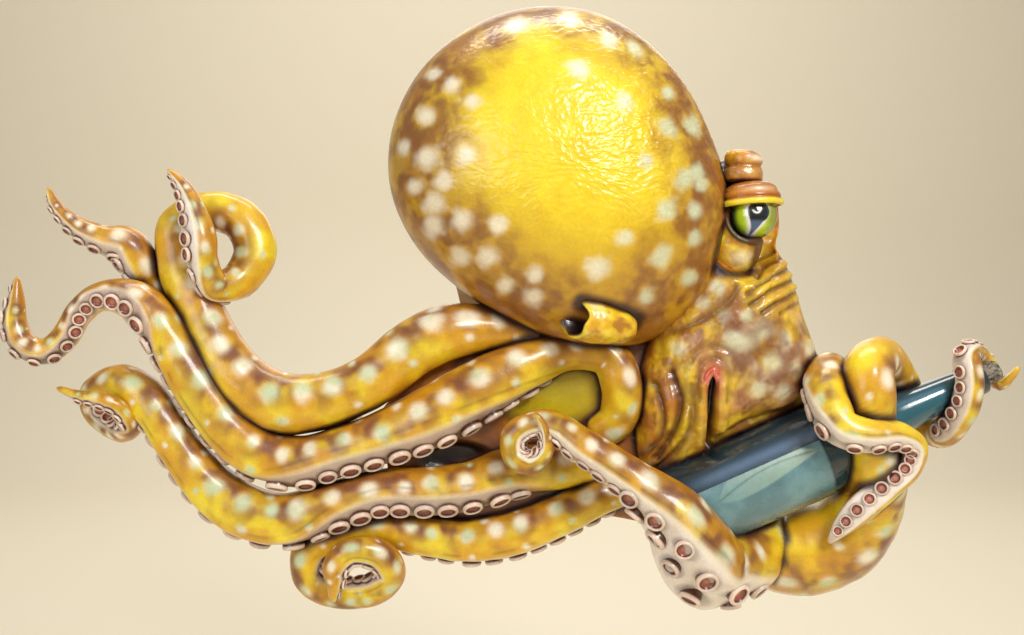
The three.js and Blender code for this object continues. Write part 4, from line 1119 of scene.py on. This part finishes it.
def eyeball_piece():
    """A glossy ball with a keyhole pupil, a slate lower iris and yellow-green sides."""
    middle = at(EYE["x"], EYE["depth"], EYE["z"])
    radius = EYE["radius"]
    tilt = np.linspace(0, math.pi, 150)[1:-1]
    profile = np.stack([radius * np.sin(tilt), radius * np.cos(tilt)], axis=1)
    rings = turned_rings(profile, middle, (0, -1, 0), 150)
    across = rings[..., 0] - middle[0]
    upward = rings[..., 2] - middle[2]
    from_pupil = np.hypot(across + 0.0003, upward - 0.0020)
    left_edge = -0.0086 + 0.0028 * smooth(0.002, -0.0125, upward)
    right_edge = np.where(upward > 0.001, 0.0086, 0.0086 + (upward - 0.001) * 0.75)
    tail = (smooth(-0.0006, 0.0006, across - left_edge) * smooth(0.0006, -0.0006, across - right_edge)
            * smooth(0.004, 0.002, upward))
    pupil = np.maximum(smooth(0.0092, 0.0084, from_pupil), tail)
    to_left = left_edge - across
    to_right = across - right_edge
    beside = np.where(across < 0, to_left, to_right)
    whites = colour("e9e6d8")
    colours = mix(whites, colour("b2d312"), smooth(0.0012, 0.0042, beside))
    colours = mix(colours, colour("93a012"), smooth(0.004, 0.012, across))
    rim = np.hypot(across, upward + 0.001)
    colours = mix(colours, colour("2a3326"), smooth(0.0150, 0.0188, rim))
    slate = mix(colour("10161c"), colour("33527e"), smooth(-0.0035, -0.0075, upward))
    slate = mix(slate, colour("26343f"), bump(from_pupil, 0.0078, 0.0012) * smooth(-0.004, 0.0, upward))
    colours = mix(colours, slate, pupil)
    # Painted highlight: a white glint crescent on the ball.
    glint_arc = np.hypot(across + 0.0022, upward - 0.0040)
    glint = bump(glint_arc, 0.0030, 0.0008) * smooth(0.0042, 0.0026, upward)
    colours = mix(colours, colour("fbfbf6"), glint)
    return add_surface("eyeball_enamel", rings, colours, EYE_PAINT, "eye_gloss", ["eyeball"])


def upper_lid_piece():
    """A hood over the eye: a rolled yellow rim, then soft bands up to its crown."""
    profile = finer([
        (0.0005, 0.0100), (0.0100, 0.0098), (0.0185, 0.0094), (0.0215, 0.0086), (0.0240, 0.0078),
        (0.0262, 0.0082), (0.0272, 0.0100), (0.0266, 0.0120), (0.0250, 0.0131), (0.0246, 0.0142),
        (0.0248, 0.0158), (0.0240, 0.0178), (0.0226, 0.0196), (0.0220, 0.0212), (0.0205, 0.0236),
        (0.0180, 0.0254), (0.0140, 0.0270), (0.0080, 0.0279), (0.0004, 0.0281),
    ], 6)
    middle = at(*LID_CENTRE)
    rings = turned_rings(profile, middle, (0, 0, 1), 120, 0.94)
    across = rings[..., 0] - middle[0]
    rings[..., 2] += 0.055 * across - 0.0012 * np.abs(across / 0.026) ** 2
    height = np.broadcast_to(profile[:, 1][:, None], across.shape)
    cloud = fractal(rings, 0.009)
    rings = rings + ring_normals(rings) * ((cloud - 0.5) * 0.0008)[..., None]
    colours = mix(LEMON, AMBER, smooth(0.0118, 0.0140, height))
    colours = coats(colours, [
        (colour("a85f14"), bump(height, 0.0152, 0.0018)),
        (RUST, 0.6 * smooth(0.50, 0.68, fractal(rings + 0.2, 0.007)) * smooth(0.013, 0.016, height)),
        (CREAM, 0.55 * bump(height, 0.0205, 0.0020) * bump(across, 0.002, 0.012)),
        (colour("a8681c"), bump(height, 0.0248, 0.0018)),
        (colour("8a4a1e"), smooth(0.0262, 0.0280, height) * 0.7),
        # Painted shade: the underside of the hood, over the eyeball, is painted near-black.
        (colour("171210"),
         smooth(0.0086, 0.0076, height)
         * smooth(0.0262, 0.0245, np.broadcast_to(profile[:, 0][:, None], across.shape))),
    ])
    return add_surface("upper_lid", rings, colours, SKIN_PAINT, "octopus_paint", ["upper_eyelid"])


def brow_knob_piece():
    """Two stacked folds of skin above the lid."""
    profile = finer([
        (0.0005, -0.0140), (0.0100, -0.0138), (0.0146, -0.0125), (0.0160, -0.0095),
        (0.0162, -0.0060), (0.0155, -0.0030), (0.0146, -0.0012), (0.0144, 0.0004),
        (0.0153, 0.0022), (0.0158, 0.0052), (0.0150, 0.0084), (0.0122, 0.0112),
        (0.0072, 0.0130), (0.0005, 0.0136),
    ], 6)
    middle = at(*BROW_CENTRE)
    rings = turned_rings(profile, middle, (0, 0, 1), 96, 0.98)
    height = np.broadcast_to(profile[:, 1][:, None], rings.shape[:2])
    across = rings[..., 0] - middle[0]
    rings[..., 2] -= 0.16 * across * smooth(0.0, 0.012, height)
    cloud = fractal(rings, 0.010)
    rings = rings + ring_normals(rings) * ((cloud - 0.5) * 0.0022)[..., None]
    colours = mix(GOLD, AMBER, smooth(0.3, 0.7, cloud))
    colours = coats(colours, [
        (RUST, 0.6 * smooth(0.50, 0.68, fractal(rings + 0.3, 0.008))),
        # Painted highlight: cream on the right side of the upper fold.
        (CREAM, 0.75 * bump(height, 0.0062, 0.0030) * smooth(-0.006, 0.006, across)),
        # Painted shade: rust in the crease between the two folds.
        (RUST, 0.8 * bump(height, -0.0004, 0.0026)),
        (colour("b98a58"), 0.7 * bump(height, -0.0060, 0.0030)),
        # Painted shade: dark red-brown along the bottom, where the knob sits on the lid.
        (colour("56202a"), smooth(-0.0095, -0.0125, height)),
    ])
    return add_surface("brow_folds", rings, colours, SKIN_PAINT, "octopus_paint", ["brow_knob"])


def eye_bag_piece():
    """The full pouch under the eye, with a dark lower lid line against the eyeball."""
    tilt = np.linspace(0, math.pi, 110)[1:-1]
    profile = np.stack([np.sin(tilt), np.cos(tilt)], axis=1)
    unit_rings = turned_rings(profile, (0, 0, 0), (0, -1, 0), 130)
    turn = math.radians(POUCH["lean"])
    x = unit_rings[..., 0] * POUCH["half_width"]
    z = unit_rings[..., 2] * POUCH["half_height"]
    middle = at(*POUCH["centre"])
    rings = np.stack([
        middle[0] + x * math.cos(turn) + z * math.sin(turn),
        middle[1] + unit_rings[..., 1] * POUCH["half_depth"],
        middle[2] - x * math.sin(turn) + z * math.cos(turn),
    ], axis=-1)
    cloud = fractal(rings, 0.014)
    rings = rings + ring_normals(rings) * ((cloud - 0.5) * 0.0022)[..., None]
    seen = rings[..., 0] + 0.29 * (-rings[..., 1] - EYE["depth"])
    gap = np.hypot(seen - EYE["x"], rings[..., 2] - EYE["z"]) - EYE["radius"]
    lid_roll = 0.0034 * bump(gap, 0.0030, 0.0024)
    limit = 0.0600 + 0.0300 * smooth(-0.0060, 0.0040, gap) + lid_roll
    rings[..., 1] = np.maximum(rings[..., 1] - lid_roll, -limit)
    flat = rings[..., [0, 2]]
    colours = mix(LEMON, GOLD, smooth(0.3, 0.7, cloud))
    colours = mix(colours, RUST, 0.6 * smooth(0.52, 0.70, fractal(rings + 0.2, 0.010)))
    # Painted highlight: a cream sheen on the front of the pouch.
    shine = np.exp(-np.sum(((flat - (0.115, 0.036)) / (0.009, 0.007)) ** 2, axis=-1))
    colours = coats(colours, [
        (CREAM, 0.55 * shine),
        (AMBER, 0.7 * bump(gap, 0.0075, 0.0025)),
        (colour("3d2426"), smooth(0.0062, 0.0040, gap)),
        (colour("7a6f4a"), 0.7 * bump(gap, 0.0022, 0.0010)),
    ])
    others = neighbours("eye_bag", "eyeball", "upper_eyelid")
    shade = crease_shade(rings, others, 0.006)
    colours = mix(colours, UMBER, 0.9 * smooth(0.1, 0.8, shade))
    return add_surface("eye_pouch", rings, colours, SKIN_PAINT, "octopus_paint", ["eye_bag"])


eyeball_piece()
upper_lid_piece()
brow_knob_piece()
eye_bag_piece()

# ------------------------------------------------------------------ mouth and funnel


def tube_rings(line, radii, sides):
    """A round tube along a line of points."""
    line = np.array(line, dtype=float)
    places = np.linspace(0, len(line) - 1, 14 * (len(line) - 1) + 1)
    centres = catmull(line, places)
    radius = np.interp(places, np.arange(len(line)), radii)
    ends = np.minimum(places, places[-1] - places)
    radius = radius * np.sqrt(1 - (1 - np.clip(ends / 0.6, 0.05, 1)) ** 2)
    tangent = unit(np.gradient(centres, axis=0))
    side = unit(np.cross(tangent, (0, 1.0, 0)))
    other = np.cross(tangent, side)
    turn = np.linspace(0, 2 * math.pi, sides, endpoint=False)
    circle = (np.cos(turn)[None, :, None] * side[:, None]
              + np.sin(turn)[None, :, None] * other[:, None])
    return centres[:, None] + radius[:, None, None] * circle


def mouth_piece():
    """The rolled red lip that arches over the mouth slit."""
    line = [at(0.0845, 0.0790, -0.078), at(0.0840, 0.0835, -0.070), at(0.0850, 0.0855, -0.062),
            at(0.0895, 0.0865, -0.0565), at(0.0945, 0.0855, -0.062), at(0.0960, 0.0835, -0.070),
            at(0.0965, 0.0790, -0.078)]
    radii = [0.0016, 0.0027, 0.0033, 0.0036, 0.0033, 0.0027, 0.0016]
    rings = tube_rings(line, radii, 36)
    cloud = fractal(rings, 0.008)
    rings = rings + ring_normals(rings) * ((cloud - 0.5) * 0.0010)[..., None]
    upward = rings[..., 2]
    colours = mix(GOLD, colour("cf5636"), smooth(-0.080, -0.064, upward))
    colours = mix(colours, colour("e69a80"), 0.6 * smooth(0.5, 0.7, cloud))
    return add_surface("mouth_lip", rings, colours, MOUTH_PAINT, "mouth_paint", ["mouth_liner"])


def funnel_piece():
    """The breathing funnel: a fleshy tube with a thick rolled rim, and a hollow darkened by painted
    shade.
    """
    mouth = at(*FUNNEL["mouth"])
    tail = at(*FUNNEL["tail"])
    profile = finer([
        (0.0004, 0.0500), (0.0070, 0.0492), (0.0110, 0.0440), (0.0140, 0.0350), (0.0163, 0.0240),
        (0.0172, 0.0140), (0.0166, 0.0060), (0.0164, 0.0020), (0.0160, -0.0006), (0.0145, -0.0018),
        (0.0128, -0.0010), (0.0118, 0.0020), (0.0112, 0.0080), (0.0100, 0.0180), (0.0070, 0.0280),
        (0.0004, 0.0320),
    ], 6)
    rings = turned_rings(profile, mouth, tail - mouth, 110)
    axis = unit(tail - mouth)
    towards_viewer = (rings - mouth)[..., 1] / -FUNNEL["radius"]
    open_end = smooth(0.030, 0.0, (rings - mouth) @ axis)
    ripple = 0.0012 * np.sin(5 * np.arctan2((rings - mouth)[..., 2], (rings - mouth)[..., 1]))
    rings = rings + (open_end * (0.0075 * towards_viewer + ripple))[..., None] * axis
    cloud = fractal(rings, 0.014)
    rings = rings + ring_normals(rings) * ((cloud - 0.5) * 0.0020)[..., None]
    count = len(profile)
    row = np.broadcast_to(np.arange(count)[:, None], rings.shape[:2])
    rim_row = 9 * 6
    outside = smooth(rim_row + 4, rim_row - 4, row)
    colours = mix(GOLD, LEMON, smooth(0.35, 0.6, cloud))
    colours = coats(colours, [
        (RUST, 0.7 * smooth(0.50, 0.68, fractal(rings + 0.4, 0.010))),
        (CREAM, 0.5 * bump(row, rim_row - 16, 8) * smooth(0.40, 0.6, cloud)),
        (LEMON, 0.8 * bump(row, rim_row - 2, 7)),
    ])
    # Painted shade: the inside of the funnel is painted near-black, with an umber band just inside the
    # rim.
    colours = mix(colour("20130c"), colours, outside)
    colours = mix(colours, UMBER, 0.6 * bump(row, rim_row + 5, 4))
    shade = crease_shade(rings, ["mantle_skin", "arm_1", "arm_3", "head_casting"], 0.009) * outside
    colours = mix(colours, UMBER, 0.9 * smooth(0.1, 0.8, shade))
    return add_surface("funnel", rings, colours, SKIN_PAINT, "octopus_paint", ["siphon_funnel"])


mouth_piece()
funnel_piece()

# ------------------------------------------------------------------ bottle, label and cork

TILT = math.radians(BOTTLE["tilt"])
BOTTLE_AXIS = np.array([math.cos(TILT), 0, math.sin(TILT)])
BOTTLE_UP = np.array([-math.sin(TILT), 0, math.cos(TILT)])
TOWARDS_VIEWER = np.array([0, -1.0, 0])
BOTTLE_PROFILE = [
    (0.0004, 0.0060), (0.0200, 0.0050), (0.0300, 0.0010), (0.0345, 0.0002), (0.0372, 0.0020),
    (0.0380, 0.0060), (0.0380, 0.0500), (0.0380, 0.1000), (0.0380, 0.1480), (0.0376, 0.1600),
    (0.0350, 0.1740), (0.0310, 0.1860), (0.0268, 0.1970), (0.0222, 0.2090), (0.0188, 0.2220),
    (0.0165, 0.2400), (0.0150, 0.2570), (0.0138, 0.2750), (0.0131, 0.2858), (0.0133, 0.2868),
    (0.0152, 0.2876), (0.0157, 0.2890), (0.0157, 0.2930), (0.0152, 0.2944), (0.0138, 0.2952),
    (0.0136, 0.2964), (0.0143, 0.2974), (0.0147, 0.2990), (0.0146, 0.3025), (0.0138, 0.3040),
    (0.0108, 0.3040), (0.0096, 0.3030), (0.0094, 0.2960), (0.0093, 0.2850), (0.0004, 0.2842),
]


def along_bottle(distance):
    return at(*BOTTLE["base"]) + BOTTLE_AXIS * distance


def bottle_places(points):
    """How far along the bottle points are, and their angle round it: 0 to the viewer, up positive."""
    offset = points - at(*BOTTLE["base"])
    along = offset @ BOTTLE_AXIS
    return along, np.arctan2(offset @ BOTTLE_UP, offset @ TOWARDS_VIEWER)


def bottle_piece():
    """A glossy wine bottle in airbrushed teal, with a pale painted highlight along its upper side."""
    profile = finer(BOTTLE_PROFILE, 4)
    rings = turned_rings(profile, along_bottle(0), BOTTLE_AXIS, 160)
    along, angle = bottle_places(rings)
    cloud = fractal(rings, (0.06, 0.03, 0.03))
    colours = mix(colour("12222a"), colour("1f3a46"), smooth(0.3, 0.7, cloud))
    # Painted highlight: a pale blue-violet band along the upper side of the body.
    highlight_streak = bump(angle, 0.62, 0.13) * smooth(0.02, 0.06, along) * smooth(0.285, 0.24, along)
    colours = mix(colours, colour("6d86a8"), 0.7 * highlight_streak)
    lower = smooth(-0.2, -0.9, angle)
    colours = mix(colours, colour("41707a"), 0.6 * lower)
    # Painted highlight: a lighter teal on the front of the neck.
    neck = smooth(0.185, 0.215, along)
    colours = mix(colours, colour("2f7386"), 0.7 * neck * bump(angle, 0.1, 0.8))
    lip = smooth(0.2855, 0.2870, along)
    colours = mix(colours, colour("27363c"), lip)
    others = neighbours("bottle", "bottle_label")
    shade = crease_shade(rings, others, 0.008)
    colours = mix(colours, colour("0b1114"), 0.85 * smooth(0.2, 0.9, shade))
    return add_surface("wine_bottle", rings, colours, BOTTLE_PAINT, "bottle_paint", ["bottle"])


def label_rings():
    """The thin label sheet, as sections from its left edge to its right edge."""
    inner = BOTTLE["radius"] + 0.00035
    outer = inner + 0.0006
    angle = np.radians(np.linspace(-85, 25, 150))
    loop = np.concatenate([angle, angle[::-1]])
    reach = np.concatenate([np.full(150, outer), np.full(150, inner)])
    section = reach[:, None] * (np.sin(loop)[:, None] * BOTTLE_UP
                                + np.cos(loop)[:, None] * TOWARDS_VIEWER)
    return np.array([along_bottle(d) + section for d in np.linspace(0.032, 0.146, 160)])


def leaf_amount(along, around):
    """A broad curved leaf with a midrib, in the label's flat coordinates."""
    start = np.array([0.050, 0.004])
    tip = np.array([0.141, 0.010])
    span = tip - start
    offset = np.stack([along, around], axis=-1) - start
    share = np.clip(offset @ span / (span @ span), 0, 1)
    rise = offset @ np.array([-span[1], span[0]]) / np.linalg.norm(span)
    middle = 0.006 * np.sin(math.pi * share)
    half_width = 0.0125 * np.sin(math.pi * share ** 0.8) ** 0.9
    inside = smooth(0.0010, -0.0010, np.abs(rise - middle) - half_width)
    rib = bump(rise - middle, 0, 0.0009) * inside
    return inside, rib, share


def label_piece():
    """The satin label, a lighter teal with a pale leaf."""
    rings = label_rings()
    along, angle = bottle_places(rings)
    around = angle * BOTTLE["radius"]
    cloud = fractal(rings, 0.020)
    colours = mix(colour("587f88"), colour("6f99a0"), smooth(0.3, 0.7, cloud))
    colours = mix(colours, colour("30505a"), smooth(-0.020, -0.050, around) * 0.6)
    leaf, rib, share = leaf_amount(along, around)
    colours = coats(colours, [
        (mix(colour("7fa3a0"), colour("b4cbb6"), share), 0.75 * leaf),
        (colour("3f646b"), 0.6 * rib),
        (colour("2a454d"), 0.7 * smooth(0.0345, 0.033, along)),
        (colour("2a454d"), 0.7 * smooth(0.1435, 0.1452, along)),
    ])
    return add_surface("label", rings, colours, LABEL_PAINT, "label_paint", ["bottle_label"])


def cork_piece():
    """A weathered cork, standing proud of the neck."""
    radius = BOTTLE["cork_radius"]
    length = BOTTLE["cork_length"]
    profile = finer([
        (0.0004, 0.0), (radius * 0.8, 0.0), (radius * 0.97, 0.0006), (radius, 0.003),
        (radius * 0.99, length * 0.5), (radius, length - 0.003), (radius * 0.95, length - 0.0006),
        (radius * 0.8, length), (0.0004, length - 0.0004),
    ], 8)
    start = along_bottle(BOTTLE["length"] - (length - BOTTLE["cork_out"]))
    rings = turned_rings(profile, start, BOTTLE_AXIS, 80)
    pits = fractal(rings, 0.0028, 3)
    rings = rings + ring_normals(rings) * (np.minimum(pits - 0.5, 0) * 0.0016)[..., None]
    colours = mix(colour("5b5348"), colour("93897a"), smooth(0.35, 0.6, pits))
    return add_surface("bottle_cork", rings, colours, CORK, "cork", ["cork"])


bottle_piece()
label_piece()
cork_piece()

# ------------------------------------------------------------------ hanging hardware


def ring_piece(side):
    """A hanger ring of round wire, bent to a D with its straight side in the strap's barrel."""
    half, drop, corner = RING["half_width"], RING["drop"], RING["corner"]
    tight = 0.002
    corners = [(half - tight, -tight, tight, 90), (half - corner, corner - drop, corner, 0),
               (corner - half, corner - drop, corner, -90), (tight - half, -tight, tight, 180)]
    path = []
    for x, z, radius, start in corners:
        turn = np.radians(start - np.linspace(0, 90, 12))
        path.append(np.stack([x + radius * np.cos(turn), z + radius * np.sin(turn)], axis=1))
    flat = np.vstack(path)
    centres = np.stack([
        RING_X[side] + flat[:, 0], np.full(len(flat), -HINGE_DEPTH), RING["z"] + flat[:, 1],
    ], axis=1)
    tangent = unit(np.roll(centres, -1, axis=0) - np.roll(centres, 1, axis=0))
    wallward = np.array([0, 1.0, 0])
    sideways = np.cross(tangent, wallward)
    turn = np.linspace(0, 2 * math.pi, 20, endpoint=False)[None, :, None]
    rings = centres[:, None] + RING["wire"] * (
        np.cos(turn) * wallward + np.sin(turn) * sideways[:, None])
    points, faces = closed_surface(rings, joined=True)
    return add_piece(f"wire_ring_{side}", [(points, faces, colour("c0c3c6"))], ZINC, "zinc_steel",
                     [f"hanger_ring_{side}"], f"{side}_ring")


def repaint(word, material):
    """Gives the CAD nodes whose names hold a word their detailed material."""
    for name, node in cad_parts.items():
        if word in name:
            node.data.materials.clear()
            node.data.materials.append(material)


for ring_side in RING_X:
    ring_piece(ring_side)
repaint("backer_board", PLYWOOD)
repaint("wall_pad", RUBBER)
repaint("hanger", ZINC)
repaint("body_screw", BRASS)
repaint("_rod", ROD_STEEL)
repaint("mantle_core", CORE_PULP)

# ------------------------------------------------------------------ floor, light and camera

CAMERA = {
    "place": (-0.1196, -0.8886, -0.0022), "forward": (0.0561, 0.9983, -0.0158),
    "up": (-0.0082, 0.0163, 0.9998), "lens": 35.16,
}
FLOOR_Z = -0.62
BACKDROP_Y = 3.4


def studio_sweep():
    """A pale floor that curves up into a backdrop well behind the sculpture."""
    bend = 1.0
    turn = np.linspace(0, math.pi / 2, 24)
    profile = [(-6.0, FLOOR_Z), (BACKDROP_Y - bend, FLOOR_Z)]
    profile += [(BACKDROP_Y - bend + bend * math.sin(a), FLOOR_Z + bend * (1 - math.cos(a)))
                for a in turn[1:]]
    profile += [(BACKDROP_Y, 5.0)]
    points = [(x, y, z) for y, z in profile for x in (-7.0, 7.0)]
    faces = [(2 * i, 2 * i + 1, 2 * i + 3, 2 * i + 2) for i in range(len(profile) - 1)]
    mesh = bpy.data.meshes.new("studio sweep")
    mesh.from_pydata(points, [], faces)
    mesh.polygons.foreach_set("use_smooth", [True] * len(mesh.polygons))
    nodes = Nodes("studio paper")
    nodes.shader.inputs["Base Color"].default_value = (*colour("e6dcc6"), 1)
    nodes.shader.inputs["Roughness"].default_value = 0.9
    mesh.materials.append(nodes.material)
    sweep = bpy.data.objects.new("studio_sweep", mesh)
    bpy.context.collection.objects.link(sweep)


def softbox(name, place, target, size, power, tint):
    light = bpy.data.lights.new(name, "AREA")
    light.shape = "RECTANGLE"
    light.size, light.size_y = size
    light.energy = power
    light.color = tint
    box = bpy.data.objects.new(name, light)
    bpy.context.collection.objects.link(box)
    box.location = place
    aim = Vector(target) - Vector(place)
    box.rotation_euler = aim.to_track_quat("-Z", "Y").to_euler()


def studio_camera():
    """The camera at the fitted viewing angle: level, a little left of the middle, 0.9 m away."""
    forward = Vector(CAMERA["forward"]).normalized()
    up = Vector(CAMERA["up"])
    right = forward.cross(up).normalized()
    up = right.cross(forward)
    camera_data = bpy.data.cameras.new("camera")
    camera_data.sensor_width = 36
    camera_data.lens = CAMERA["lens"]
    camera = bpy.data.objects.new("camera", camera_data)
    bpy.context.collection.objects.link(camera)
    turn = Matrix((right, up, -forward)).transposed().to_4x4()
    camera.matrix_world = Matrix.Translation(CAMERA["place"]) @ turn
    bpy.context.scene.camera = camera


def pale_world():
    world = bpy.data.worlds.new("studio air")
    world.use_nodes = True
    background = world.node_tree.nodes["Background"]
    background.inputs["Color"].default_value = (1.0, 0.97, 0.92, 1)
    background.inputs["Strength"].default_value = 0.33
    bpy.context.scene.world = world


studio_sweep()
softbox("key", (0.55, -1.30, 0.85), (0.05, 0, 0.05), (0.50, 0.40), 20, (1.0, 0.98, 0.94))
softbox("fill", (-1.10, -1.20, 0.35), (-0.1, 0, 0), (0.9, 0.9), 8, (0.92, 0.96, 1.0))
softbox("rear", (0.3, 2.6, 1.6), (0, 0, 0), (2.0, 2.0), 16, (1.0, 0.98, 0.95))
softbox("backdrop", (0.0, 0.6, 2.6), (0, 3.0, 0.0), (2.5, 1.0), 70, (1.0, 0.98, 0.94))
pale_world()
studio_camera()
bpy.context.scene.view_settings.view_transform = "Standard"
